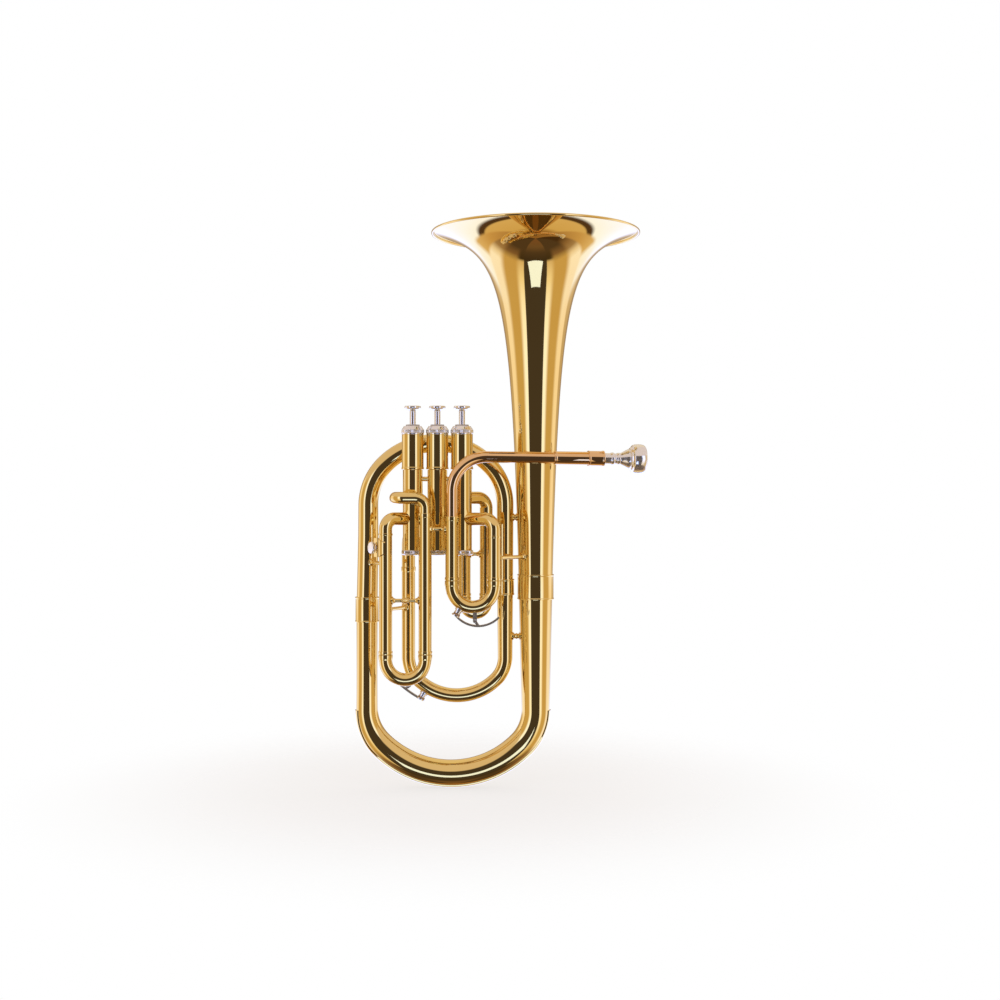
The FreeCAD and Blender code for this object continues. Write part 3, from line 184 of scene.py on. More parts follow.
def spring_wire():
    """Drawn steel wire with fine draw lines."""
    material, tree, shader, place = surface("spring_steel")
    grain = tree.noise(place, 2400.0, 4.0, 0.7)
    tree.link(tree.ramp(grain, [(0.3, STEEL_DARK), (0.65, STEEL)]), shader.inputs["Base Color"])
    tree.link(tree.ranged(grain, 0.22, 0.4), shader.inputs["Roughness"])
    tree.link(tree.bump(grain, 0.3, 0.03 * MM), shader.inputs["Normal"])
    shader.inputs["Metallic"].default_value = 1.0
    return material


def felt():
    """Pressed wool: short crossing fibres and a soft sheen."""
    material, tree, shader, place = surface("felt")
    fibres = tree.noise(place, 3800.0, 6.0, 0.8)
    clumps = tree.noise(place, 600.0, 3.0)
    height = tree.math("ADD", fibres, clumps)
    tone = tree.math("MULTIPLY", height, 0.5)
    tree.link(tree.ramp(tone, [(0.35, FELT_DARK), (0.62, FELT)]), shader.inputs["Base Color"])
    tree.link(tree.bump(height, 0.8, 0.12 * MM), shader.inputs["Normal"])
    shader.inputs["Roughness"].default_value = 0.95
    shader.inputs["Sheen Weight"].default_value = 0.4
    shader.inputs["Sheen Roughness"].default_value = 0.5
    return material


def cork():
    """Cut cork: pale cells with dark pores."""
    material, tree, shader, place = surface("cork")
    cells = tree.add("ShaderNodeTexVoronoi", feature="DISTANCE_TO_EDGE")
    cells.inputs["Scale"].default_value = 1400.0
    tree.link(place, cells.inputs["Vector"])
    pores = tree.noise(place, 900.0, 5.0, 0.7)
    walls = tree.math("MULTIPLY", cells.outputs["Distance"], 2.5)
    tone = tree.math("ADD", tree.math("MULTIPLY", pores, 0.8), tree.math("MULTIPLY", walls, 0.3))
    tree.link(tree.ramp(tone, [(0.3, CORK_DARK), (0.5, CORK)]), shader.inputs["Base Color"])
    tree.link(tree.bump(tone, 0.7, 0.1 * MM), shader.inputs["Normal"])
    shader.inputs["Roughness"].default_value = 0.85
    return material


def guide_plastic():
    """Moulded valve guide: faint flow marks and a dull face."""
    material, tree, shader, place = surface("guide_plastic")
    flow = tree.noise(place, 300.0, 4.0, 0.6)
    tree.link(tree.ramp(flow, [(0.3, PLASTIC_DARK), (0.7, PLASTIC)]), shader.inputs["Base Color"])
    tree.link(tree.ranged(flow, 0.35, 0.5), shader.inputs["Roughness"])
    tree.link(tree.bump(flow, 0.2, 0.05 * MM), shader.inputs["Normal"])
    return material


MATERIALS = {
    "lacquered_brass": metal("lacquered_brass", BRASS, BRASS_WARM, 0.02, 0.05, 0.003, 0.15),
    "gold_brass": metal("gold_brass", GOLD_BRASS, GOLD_BRASS_WARM, 0.02, 0.05, 0.003, 0.15),
    "silver_plate": metal("silver_plate", SILVER, SILVER_WARM, 0.06, 0.12, 0.002, metallic=0.85),
    "nickel_silver": metal("nickel_silver", NICKEL, NICKEL_DARK, 0.16, 0.26, 0.0),
    "spring_steel": spring_wire(),
    "felt": felt(),
    "cork": cork(),
    "guide_plastic": guide_plastic(),
}


def dress(piece, slot):
    """Gives a piece the material of its slot."""
    piece.data.materials.clear()
    piece.data.materials.append(MATERIALS[slot])


for subpart in frame["record"]["subparts"]:
    dress(NODES[subpart["node"]], subpart["material_slot"])


# ---------------------------------------------------------------- shapes, in millimetres

SHARP = math.radians(38)
UP = Vector((0, 0, 1))
RIGHT = Vector((1, 0, 0))
BACK = Vector((0, 1, 0))


def spot(x, y, z):
    """Point or direction in millimetres."""
    return Vector((x, y, z))


def make_piece(name, shape, body, *nodes):
    """Mesh object that rides a body, stands for CAD nodes and takes their material."""
    bmesh.ops.recalc_face_normals(shape, faces=shape.faces)
    bmesh.ops.scale(shape, vec=(MM, MM, MM), verts=shape.verts)
    for face in shape.faces:
        face.smooth = True
    for edge in shape.edges:
        edge.smooth = len(edge.link_faces) == 2 and edge.calc_face_angle(0) < SHARP
    mesh = bpy.data.meshes.new(name)
    shape.to_mesh(mesh)
    shape.free()
    piece = bpy.data.objects.new(name, mesh)
    bpy.context.scene.collection.objects.link(piece)
    dress(piece, SLOTS[nodes[0]])
    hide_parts(*nodes)
    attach(piece, body)
    return piece


def skin(shape, rings, joined=True):
    """Faces between successive rings of points; joined also links the last ring to the first."""
    loops = [[shape.verts.new(place) for place in ring] for ring in rings]
    following = loops[1:] + loops[:1] if joined else loops[1:]
    for first, second in zip(loops, following):
        for number in range(len(first)):
            after = (number + 1) % len(first)
            shape.faces.new((first[number], first[after], second[after], second[number]))
    return loops


def meet(places, way, x, y, radius):
    """Slides points along a direction until they lie on an upright cylinder."""
    flat = Vector((way.x, way.y))
    moved = []
    for place in places:
        gap = Vector((place.x - x, place.y - y))
        middle = gap.dot(flat) / flat.dot(flat)
        spare = middle ** 2 - (gap.dot(gap) - radius ** 2) / flat.dot(flat)
        moved.append(place - way * (middle + math.sqrt(max(spare, 0))))
    return moved


def eased(profile, size=0.25):
    """Profile whose corners are rounded by up to a size."""
    if profile[0][0] > 0:
        runs = list(zip(profile[-1:] + profile[:-1], profile, profile[1:] + profile[:1]))
        places = []
    else:
        runs = list(zip(profile, profile[1:], profile[2:]))
        places = [Vector(profile[0])]
    for before, corner, after in runs:
        before, corner, after = Vector(before), Vector(corner), Vector(after)
        back, ahead = before - corner, after - corner
        start = corner + back * min(0.4, size / back.length)
        end = corner + ahead * min(0.4, size / ahead.length)
        places += [start, (start + end) / 4 + corner / 2, end]
    if profile[0][0] == 0:
        places.append(Vector(profile[-1]))
    return [tuple(place) for place in places]


def lathe(shape, profile, foot, axis=UP, count=96, knurl=None, fit=(None, None)):
    """Turned solid from (radius, distance) pairs.

    knurl is (flutes, depth, low, high), and fit holds the tube that each end is bent to.
    """
    turn = UP.rotation_difference(axis)
    if knurl is not None:
        count = knurl[0] * 4
    rings = []
    tips = []
    for radius, along in profile:
        if radius == 0:
            tips.append([foot + axis * along])
            continue
        ring = []
        for number in range(count):
            reach = radius
            if knurl is not None and knurl[2] < along < knurl[3]:
                reach -= knurl[1] * (0, 0.5, 1, 0.5)[number % 4]
            angle = math.tau * number / count
            ring.append(foot + turn @ Vector((reach * math.cos(angle), reach * math.sin(angle), along)))
        rings.append(ring)
    if fit[0] is not None:
        rings[0] = meet(rings[0], -axis, *fit[0])
        tips[0] = meet(tips[0], -axis, *fit[0])
    if fit[1] is not None:
        rings[-1] = meet(rings[-1], axis, *fit[1])
        tips[1] = meet(tips[1], axis, *fit[1])
    loops = skin(shape, rings, joined=not tips)
    for tip, loop in zip(tips, (loops[0], loops[-1])):
        centre = shape.verts.new(tip[0])
        for first, second in zip(loop, loop[1:] + loop[:1]):
            shape.faces.new((first, second, centre))


def route(corners, radii):
    """Points along straight runs joined by tangent arcs, and the numbers of those where a run or arc ends."""
    places = [corners[0]]
    ends = [0]

    def straight(target):
        length = (target - places[-1]).length
        if length > 0.001:
            steps = max(1, round(length / 5))
            start = places[-1]
            places.extend(start.lerp(target, number / steps) for number in range(1, steps + 1))
            ends.append(len(places) - 1)

    for before, corner, after, radius in zip(corners, corners[1:], corners[2:], radii):
        arriving = (corner - before).normalized()
        leaving = (after - corner).normalized()
        turn = arriving.angle(leaving)
        straight(corner - arriving * radius * math.tan(turn / 2))
        start = places[-1]
        centre = corner + (leaving - arriving).normalized() * (radius / math.cos(turn / 2))
        axis = arriving.cross(leaving)
        steps = max(3, math.ceil(math.degrees(turn) / 2))
        for number in range(1, steps + 1):
            places.append(centre + Matrix.Rotation(turn * number / steps, 3, axis) @ (start - centre))
        ends.append(len(places) - 1)
    straight(corners[-1])
    return places, ends


def widths(places, ends, taper):
    """Radius at each point: the taper's at each end of a run, and a smooth curve between them."""
    distances = [0.0]
    for first, second in zip(places, places[1:]):
        distances.append(distances[-1] + (second - first).length)
    knots = []
    for end in ends:
        share = distances[end] / distances[-1]
        for (low, first), (high, last) in zip(taper, taper[1:]):
            if share <= high + 1e-9:
                knots.append(first + (last - first) * (share - low) / (high - low))
                break
    where = [distances[end] for end in ends]
    slopes = [(b - a) / (d - c) for a, b, c, d in zip(knots, knots[1:], where, where[1:])]
    leans = [slopes[0]] + [(a + b) / 2 for a, b in zip(slopes, slopes[1:])] + [slopes[-1]]
    sizes = []
    for distance in distances:
        run = max(number for number in range(len(slopes)) if where[number] <= distance + 1e-9)
        length = where[run + 1] - where[run]
        share = (distance - where[run]) / length
        gone = 3 * share ** 2 - 2 * share ** 3
        size = knots[run] * (1 - gone) + knots[run + 1] * gone
        size += leans[run] * length * share * (1 - share) ** 2
        size -= leans[run + 1] * length * share ** 2 * (1 - share)
        sizes.append(size)
    return sizes


def directions(places):
    """Direction of travel at each point."""
    ahead = [(second - first).normalized() for first, second in zip(places, places[1:])]
    middle = [(first + second).normalized() for first, second in zip(ahead, ahead[1:])]
    return [ahead[0]] + middle + [ahead[-1]]


def hoops(places, sizes, count):
    """Rings of points square to a line."""
    ways = directions(places)
    side = ways[0].cross(BACK if abs(ways[0].y) < 0.9 else UP).normalized()
    rings = []
    before = ways[0]
    for place, way, size in zip(places, ways, sizes):
        side = before.rotation_difference(way) @ side
        before = way
        across = way.cross(side)
        ring = []
        for number in range(count):
            angle = math.tau * number / count
            ring.append(place + (side * math.cos(angle) + across * math.sin(angle)) * size)
        rings.append(ring)
    return rings


def tube(shape, corners, radii, sizes, wall=0.6, count=72, into=None):
    """Hollow tube along rounded corners.

    sizes is a radius or a taper, and into is the number of the casing that the tube's end meets.
    """
    places, ends = route(corners, radii)
    taper = sizes if isinstance(sizes, list) else [(0, sizes), (1, sizes)]
    outer_sizes = widths(places, ends, taper)
    outer = hoops(places, outer_sizes, count)
    inner = hoops(places, [size - wall for size in outer_sizes], count)
    if into is not None:
        way = directions(places)[-1]
        outer[-1] = meet(outer[-1], way, valve_x(into), VALVE_Y, CASING_BORE)
        inner[-1] = meet(inner[-1], way, valve_x(into), VALVE_Y, CASING_BORE)
    skin(shape, outer + inner[::-1])


def half_bow(left, right, base, rise, side):
    """Corners and radii of a flattened half ring; side is 1 above the base and -1 below it."""
    half = (right - left) / 2
    sine = math.sqrt(0.5)
    large = (half - (half + rise) * (1 - sine)) / (2 * sine - 1)
    small = half + rise - large
    lift = small * math.tan(math.pi / 8)
    corners = [spot(left, 0, base + side * lift), spot((left + right) / 2, 0, base + side * (lift + half))]
    corners.append(spot(right, 0, base + side * lift))
    return corners, [small, large, small]


# ---------------------------------------------------------------- horn

BELL_X = 82.0
BELL_TOP = 540.0
BELL_FOOT = 195.0
LEFT_X = -82.0
TOP_LEFT_X = -80.8
INNER_X = 52.4
MEDIUM_X = -41.7
VALVE_Y = -21.0
VALVE_STEP = 23.6
CASING_BORE = 9.2
PORT = 261.2
SLIDE = 6.2
MAIN_LEFT, MAIN_RIGHT, MAIN_Y, MAIN_FOOT = 1.9, 41.7, -41.5, 198.0
FIRST_LEFT, FIRST_RIGHT, FIRST_Y, FIRST_FOOT = 12.6, 34.0, -3.2, 180.4
SECOND_LOW, SECOND_HIGH, SECOND_FOOT = 266.0, 285.0, 14.3
THIRD_LEFT, THIRD_RIGHT, THIRD_Y, THIRD_FOOT = -61.0, -23.5, -39.0, 127.9
CROOK_RING = 5.3
LOWER_FERRULE, INNER_FERRULE = 173.0, 194.8
LEAD_FOOT = 259.8
MEDIUM_JOINT, MEDIUM_PORT = 212.0, 244.5
VALVES = (1, 2, 3)
SLOTS = {subpart["node"]: subpart["material_slot"] for subpart in frame["record"]["subparts"]}


def valve_x(number):
    """Middle of a valve; the first stands nearest the bell."""
    return 10.9 - VALVE_STEP * (number - 1)


def bell_radius(height):
    """Outer radius of the bell's flare at a height."""
    return 3.72 + 532.5 / (BELL_TOP - height + 14.48) ** 0.635


def make_bell():
    """Flared bell and the bead round its rim."""
    wall, trim, bead, steps = 0.6, 0.6, 1.3, 150
    length = BELL_TOP - trim - BELL_FOOT
    outer = []
    inner = []
    for number in range(steps + 1):
        height = BELL_TOP - trim - length * (number / steps) ** 2.0
        slope = (bell_radius(height + 0.02) - bell_radius(height - 0.02)) / 0.04
        lean = math.hypot(1, slope)
        outer.append((bell_radius(height), height))
        inner.append((bell_radius(height) - wall / lean, height + wall * slope / lean))
    inner[0] = (inner[0][0], min(inner[0][1], BELL_TOP - 0.1))
    shape = bmesh.new()
    lathe(shape, outer + inner[::-1], spot(BELL_X, 0, 0), count=256)
    make_piece("bell_flare", shape, "horn", "bell")
    middle = bell_radius(BELL_TOP - trim) + bead
    ring = []
    for number in range(20):
        angle = math.tau * number / 20
        ring.append((middle + bead * math.cos(angle), BELL_TOP - bead + bead * math.sin(angle)))
    shape = bmesh.new()
    lathe(shape, ring, spot(BELL_X, 0, 0), count=256)
    make_piece("bell_bead", shape, "horn", "bell_rim_wire")


def ferrule(shape, x, middle, radius, length):
    """Sleeve over a joint, with a turned bead at each end."""
    sleeve, bead = radius + 0.8, radius + 1.15
    profile = [(radius - 0.3, 0), (bead, 0), (bead, 1.2), (sleeve, 1.7), (sleeve, length - 1.7)]
    profile += [(bead, length - 1.2), (bead, length), (radius - 0.3, length)]
    lathe(shape, eased(profile, 0.35), spot(x, 0, middle - length / 2), count=128)


def make_ferrules():
    """Sleeves over the joints of the bell, the left leg and the inner leg."""
    shape = bmesh.new()
    ferrule(shape, BELL_X, BELL_FOOT, 16.7, 24.4)
    make_piece("bell_joint", shape, "horn", "bell_ferrule")
    shape = bmesh.new()
    ferrule(shape, LEFT_X, LOWER_FERRULE, 10.4, 24.4)
    ferrule(shape, INNER_X, INNER_FERRULE, 7.8, 15.5)
    make_piece("leg_joints", shape, "horn", "leg_ferrules")


def make_bows():
    """Bottom bow and its guard, top bow and medium bow."""
    lowest, rise = 13.7, 61.7
    corners, radii = half_bow(LEFT_X, BELL_X, lowest + rise, rise, -1)
    corners = [spot(LEFT_X, 0, LOWER_FERRULE)] + corners + [spot(BELL_X, 0, BELL_FOOT)]
    taper = [(0, 10.2), (0.22, 10.7), (0.31, 12.2), (0.65, 13.3), (0.73, 13.9), (1, bell_radius(BELL_FOOT))]
    shape = bmesh.new()
    tube(shape, corners, radii, taper, count=128)
    make_piece("lower_bow", shape, "horn", "bottom_bow")
    places, ends = route(corners, radii)
    make_guard(places, widths(places, ends, taper), lowest + rise + 0.6)

    corners, radii = half_bow(TOP_LEFT_X, INNER_X, 274.5, 60.2, 1)
    corners = [spot(LEFT_X, 0, 173.4), spot(TOP_LEFT_X, 0, 244.5)] + corners + [spot(INNER_X, 0, 195.2)]
    taper = [(0, 10.2), (0.27, 9.6), (0.53, 9.0), (0.79, 8.1), (1, 7.7)]
    shape = bmesh.new()
    tube(shape, corners, [300.0] + radii, taper, count=112)
    make_piece("upper_bow", shape, "horn", "top_bow")

    corners, radii = half_bow(MEDIUM_X, INNER_X, 125.6, 36.4, -1)
    joint = spot(MEDIUM_X, 0, MEDIUM_JOINT)
    corners = [spot(INNER_X, 0, INNER_FERRULE)] + corners[::-1] + [joint]
    shape = bmesh.new()
    tube(shape, corners, radii, [(0, 7.7), (0.25, 7.2), (0.72, 6.5), (1, 6.4)], count=96)
    elbow = spot(MEDIUM_X, 0, MEDIUM_PORT)
    corners = [joint, elbow, spot(valve_x(3), VALVE_Y, MEDIUM_PORT).lerp(elbow, 0.32)]
    tube(shape, corners, [10.0], 6.4, into=3)
    ring = [(6.2, -2.5), (6.95, -2.5), (6.95, 2.5), (6.2, 2.5)]
    lathe(shape, eased(ring, 0.3), joint, count=72)
    make_piece("middle_bow", shape, "horn", "medium_bow")


def make_guard(places, sizes, top):
    """Strip along the outer side of the bottom bow, up to a height, thinner at its long edges."""
    ways = directions(places)
    half, thick, steps = 8.0, 0.9, 24
    rings = []
    for place, way, size in zip(places, ways, sizes):
        if place.z > top:
            continue
        out = BACK.cross(way)
        spread = math.asin(half / (size + thick))
        turns = [spread * (2 * number / steps - 1) for number in range(steps + 1)]
        low, high = size + 0.03, size + thick
        ring = [place + (out * math.cos(turn) + BACK * math.sin(turn)) * high for turn in turns[1:-1]]
        for turn in turns[::-1]:
            ring.append(place + (out * math.cos(turn) + BACK * math.sin(turn)) * low)
        rings.append(ring)
    shape = bmesh.new()
    loops = skin(shape, rings, joined=False)
    shape.faces.new(loops[0])
    shape.faces.new(loops[-1])
    make_piece("bow_guard_strip", shape, "horn", "bow_guard")


# ---------------------------------------------------------------- valves


def make_valve(number):
    """Casing, knurled caps, stem and finger button of one valve."""
    x = valve_x(number)
    foot = spot(x, VALVE_Y, 0)
    bottom, ledge, top = 231.4, 309.6, 342.2
    casing = [
        (8.6, bottom - 2.6), (9.1, bottom - 2.6), (9.1, bottom), (9.5, bottom), (9.5, ledge - 1.2),
        (10.8, ledge - 0.9), (10.8, ledge + 0.9), (10.4, ledge + 1.2), (10.4, top), (9.8, top),
        (9.8, top + 3.6), (9.3, top + 3.6), (9.3, ledge), (8.6, ledge),
    ]
    shape = bmesh.new()
    lathe(shape, eased(casing, 0.3), foot)
    make_piece(f"casing_{number}", shape, "horn", f"valve_casing_{number}")

    cap = [
        (10.55, 0.02), (10.55, 1.1), (10.9, 1.4), (10.9, 4.4), (10.4, 4.9), (10.0, 5.6), (8.9, 7.1),
        (8.6, 7.9), (3.4, 7.9), (3.4, 6.3), (9.3, 6.3), (9.3, 3.7), (9.83, 3.7), (9.83, 0.02),
    ]
    shape = bmesh.new()
    lathe(shape, eased(cap), foot + UP * top, knurl=(56, 0.3, 1.45, 4.35))
    make_piece(f"upper_cap_{number}", shape, "horn", f"top_cap_{number}")

    cap = [
        (2.0, 0), (5.4, 0), (6.6, 0.5), (9.3, 0.5), (10.5, 1.3), (10.8, 2.0), (10.8, 4.4), (10.3, 5.17),
        (9.13, 5.17), (9.13, 2.5), (8.6, 2.5), (8.6, 1.4), (2.0, 1.4),
    ]
    shape = bmesh.new()
    lathe(shape, eased(cap), foot + UP * (bottom - 5.2), knurl=(56, 0.3, 1.9, 4.5))
    make_piece(f"lower_cap_{number}", shape, "horn", f"bottom_cap_{number}")

    stem_foot = foot + UP * 344.92
    shape = bmesh.new()
    lathe(shape, eased([(0, 0), (2.92, 0), (2.92, 19.86), (0, 19.86)]), stem_foot, count=48)
    make_piece(f"stem_{number}", shape, f"valve_{number}", f"valve_stem_{number}")

    button = [
        (0, 0), (3.55, 0), (3.85, 0.9), (6.45, 1.5), (7.65, 2.4), (7.85, 3.1), (7.75, 4.3), (7.15, 4.8),
        (6.25, 4.65), (5.75, 4.25), (0, 4.1),
    ]
    shape = bmesh.new()
    lathe(shape, eased(button), foot + UP * 364.8)
    make_piece(f"button_{number}", shape, f"valve_{number}", f"finger_button_{number}")


def make_valve_spring(number):
    """Coil spring of one valve."""
    seat, low, high, radius, wire, turns = 311.7, 312.1, 344.4, 5.8, 0.4, 8
    steps = turns * 36
    places = []
    for step in range(steps + 1):
        angle = math.tau * turns * step / steps
        height = low + (high - low) * step / steps
        coil = spot(radius * math.cos(angle), radius * math.sin(angle), height)
        places.append(spot(valve_x(number), VALVE_Y, 0) + coil)
    shape = bmesh.new()
    loops = skin(shape, hoops(places, [wire] * len(places), 10), joined=False)
    shape.faces.new(loops[0])
    shape.faces.new(loops[-1])
    spring = make_piece(f"spring_{number}", shape, "horn", f"valve_spring_{number}")
    height = high + wire - seat
    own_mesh(spring)


def make_links():
    """Crossover tubes and braces from casing to casing."""
    links = (("crossovers", "knuckles", PORT, 5.4), ("braces", "casing_stays", 299.5, 2.3))
    for name, node, height, radius in links:
        shape = bmesh.new()
        for number in (1, 2):
            first, second = valve_x(number + 1), valve_x(number)
            profile = [(0, 11), (radius, 11), (radius, 12.6), (0, 12.6)]
            fit = ((first, VALVE_Y, CASING_BORE), (second, VALVE_Y, CASING_BORE))
            lathe(shape, profile, spot(first, VALVE_Y, height), RIGHT, 64, fit=fit)
        make_piece(name, shape, "horn", node)


# ---------------------------------------------------------------- slides


def collar(shape, foot, axis, length, radius=SLIDE):
    """Ring round a slide tube."""
    profile = [(radius - 0.3, 0), (radius + 0.5, 0), (radius + 0.5, length), (radius - 0.3, length)]
    lathe(shape, eased(profile, 0.3), foot, axis, 72)


def make_slide_tubes():
    """Outer tubes of the four slides."""
    foot = MAIN_FOOT + CROOK_RING
    shape = bmesh.new()
    tube(shape, [spot(MAIN_LEFT, MAIN_Y, foot), spot(MAIN_LEFT, MAIN_Y, LEAD_FOOT + 4)], [], SLIDE)
    collar(shape, spot(MAIN_LEFT, MAIN_Y, foot), UP, 3)
    collar(shape, spot(MAIN_LEFT, MAIN_Y, LEAD_FOOT), UP, 4)
    corners = [spot(MAIN_RIGHT, MAIN_Y, foot), spot(MAIN_RIGHT, MAIN_Y, PORT)]
    corners.append(spot(valve_x(1), VALVE_Y, PORT))
    tube(shape, corners, [10.0], SLIDE, into=1)
    collar(shape, corners[0], UP, 3)
    collar(shape, spot(MAIN_RIGHT, MAIN_Y, 243.5), UP, 2)
    make_piece("tuning_slide_tubes", shape, "horn", "main_slide_tubes")

    foot = FIRST_FOOT + CROOK_RING
    shape = bmesh.new()
    for x, port, bend in ((FIRST_LEFT, 266.0, 8.0), (FIRST_RIGHT, 281.3, 10.0)):
        corners = [spot(x, FIRST_Y, foot), spot(x, FIRST_Y, port), spot(valve_x(1), VALVE_Y, port)]
        tube(shape, corners, [bend], SLIDE, into=1)
        collar(shape, corners[0], UP, 3)
        collar(shape, spot(x, FIRST_Y, port - 18), UP, 2)
    make_piece("slide_tubes_1", shape, "horn", "first_slide_tubes")

    shape = bmesh.new()
    for height in (SECOND_LOW, SECOND_HIGH):
        mouth = spot(valve_x(2), SECOND_FOOT - CROOK_RING, height)
        tube(shape, [mouth, spot(valve_x(2), VALVE_Y, height)], [], SLIDE, into=2)
        collar(shape, mouth, -BACK, 3)
    make_piece("slide_tubes_2", shape, "horn", "second_slide_tubes")

    foot, low_port, high_port, joint, side = THIRD_FOOT + CROOK_RING, 261.5, 281.3, 266.7, -52.2
    shape = bmesh.new()
    corners = [spot(THIRD_LEFT, THIRD_Y, foot), spot(THIRD_LEFT, THIRD_Y, low_port)]
    corners.append(spot(valve_x(3), VALVE_Y, low_port))
    tube(shape, corners, [10.0], SLIDE, into=3)
    collar(shape, corners[0], UP, 3)
    collar(shape, spot(THIRD_LEFT, THIRD_Y, 245.7), UP, 2)
    tube(shape, [spot(THIRD_RIGHT, THIRD_Y, foot), spot(THIRD_RIGHT, THIRD_Y, joint)], [], SLIDE)
    collar(shape, spot(THIRD_RIGHT, THIRD_Y, foot), UP, 3)
    collar(shape, spot(THIRD_RIGHT, THIRD_Y, joint - 4), UP, 4)
    corners = [
        spot(THIRD_RIGHT, THIRD_Y, joint - 0.2), spot(THIRD_RIGHT, THIRD_Y, high_port),
        spot(side, THIRD_Y, high_port), spot(side, VALVE_Y, high_port), spot(valve_x(3), VALVE_Y, high_port),
    ]
    tube(shape, corners, [10.0, 9.0, 9.0], 5.8, into=3)
    make_piece("slide_tubes_3", shape, "horn", "third_slide_tubes")


def make_crook(name, node, body, foot, across, along, spread, legs):
    """U-shaped crook with two rings and two inner legs. across is from leg to leg, along is up the legs."""
    shape = bmesh.new()
    drop = along * -(spread / 2)
    corners = [foot, foot + drop, foot + drop + across * spread, foot + across * spread]
    tube(shape, corners, [spread / 2 - 0.001, spread / 2 - 0.001], SLIDE, 1.2)
    for start in (foot, foot + across * spread):
        collar(shape, start, along, 5.0)
        leg = [(5.0, 0.5), (5.55, 0.5), (5.55, CROOK_RING + legs), (5.0, CROOK_RING + legs)]
        lathe(shape, eased(leg, 0.15), start, along, 72)
    make_piece(name, shape, body, node)


def make_crooks():
    """Crooks of the four slides: the second one lies behind its valve, the others hang."""
    foot, spread = spot(MAIN_LEFT, MAIN_Y, MAIN_FOOT), MAIN_RIGHT - MAIN_LEFT
    make_crook("tuning_crook", "main_slide_crook", "main_slide", foot, RIGHT, UP, spread, 34.0)
    foot, spread = spot(FIRST_LEFT, FIRST_Y, FIRST_FOOT), FIRST_RIGHT - FIRST_LEFT
    make_crook("crook_1", "first_slide_crook", "first_slide", foot, RIGHT, UP, spread, 45.0)
    foot, spread = spot(valve_x(2), SECOND_FOOT, SECOND_LOW), SECOND_HIGH - SECOND_LOW
    make_crook("crook_2", "second_slide_crook", "second_slide", foot, UP, -BACK, spread, 12.0)
    foot, spread = spot(THIRD_LEFT, THIRD_Y, THIRD_FOOT), THIRD_RIGHT - THIRD_LEFT
    make_crook("crook_3", "third_slide_crook", "third_slide", foot, RIGHT, UP, spread, 62.0)


# ---------------------------------------------------------------- leadpipe and mouthpiece

YAW, DROOP = math.radians(9.85), math.radians(0.5)
LEAD_WAY = spot(math.cos(DROOP) * math.cos(YAW), math.cos(DROOP) * math.sin(YAW), -math.sin(DROOP))


def lead_place(distance):
    """Point on the leadpipe's straight, at a distance from its corner."""
    return spot(MAIN_LEFT, MAIN_Y, 320.6) + LEAD_WAY * distance


def make_leadpipe():
    """Leadpipe up from the main slide and across the bell, and the receiver on its end."""
    shape = bmesh.new()
    corners = [spot(MAIN_LEFT, MAIN_Y, LEAD_FOOT), lead_place(0), lead_place(109.4)]
    tube(shape, corners, [32.7], [(0, 5.5), (1, 5.35)])
    make_piece("lead_tube", shape, "horn", "leadpipe")
    profile = [
        (5.43, 0), (6.1, 0), (6.5, 0.6), (6.5, 1.8), (6.3, 2.4), (6.3, 33.4), (7.4, 33.4), (7.4, 34.6),
        (7.1, 35.2), (7.1, 47.0), (7.5, 47.6), (7.5, 49.2), (5.25, 49.2), (4.9, 25.2), (4.4, 25.2),
        (4.4, 11.5), (5.43, 11.5),
    ]
    shape = bmesh.new()
    lathe(shape, eased(profile, 0.3), lead_place(98.4), LEAD_WAY)
    make_piece("receiver", shape, "horn", "mouthpiece_receiver")


def make_mouthpiece():
    """Cup mouthpiece, turned: shank with two rings, stepped cup and broad rim."""
    outside = [
        (3.6, 0), (4.85, 0), (5.18, 23), (5.23, 29.6), (5.93, 30.1), (5.93, 32.6), (4.98, 33.1), (4.9, 35.6),
        (5.7, 36.1), (5.7, 38.2), (5.2, 38.7), (6.3, 41), (8.2, 44.5), (9.4, 47), (9.0, 47.4), (9.0, 48),
        (10.5, 48.5), (11.3, 50), (13.2, 51), (14.0, 53.2), (14.25, 56.5), (14.1, 59.4), (13.7, 61.4),
        (12.9, 62.8), (11.5, 63.5), (9.7, 63),
    ]
    inside = [(8.9, 61.7), (8.6, 59.4), (8.0, 56), (6.6, 51.4), (4.4, 46.6), (2.6, 43.4), (2.3, 41), (2.4, 37)]
    shape = bmesh.new()
    lathe(shape, eased(outside + inside, 0.6), lead_place(124.6), LEAD_WAY)
    make_piece("cup_mouthpiece", shape, "mouthpiece_body", "mouthpiece")


# ---------------------------------------------------------------- braces and lyre screw


def stay(shape, first, first_radius, second, second_radius, bead=False):
    """Brace between two upright tubes, with a plate and a flare at each end."""
    axis = (second - first).normalized()
    length = (second - first).length
    near, far = first_radius - 0.05, length - second_radius + 0.05
    plate, rod, lip, flare = 3.9, 1.8, 0.8, 3.6
    profile = [(0, near), (plate, near), (plate, near + lip), (2.9, near + lip + 0.3), (2.1, near + flare - 1)]
    profile.append((rod, near + flare))
    if bead:
        middle = (near + far) / 2
        profile += [(rod, middle - 3.4), (2.4, middle - 2.8), (2.4, middle - 2.1), (2.0, middle - 1.8)]
        profile += [(3.1, middle), (2.0, middle + 1.8), (2.4, middle + 2.1), (2.4, middle + 2.8)]
        profile.append((rod, middle + 3.4))
    profile += [(rod, far - flare), (2.1, far - flare + 1), (2.9, far - lip - 0.3), (plate, far - lip)]
    profile += [(plate, far), (0, far)]
    fit = ((first.x, first.y, first_radius - 0.05), (second.x, second.y, second_radius - 0.05))
    lathe(shape, eased(profile, 0.3), first, axis, 48, fit=fit)


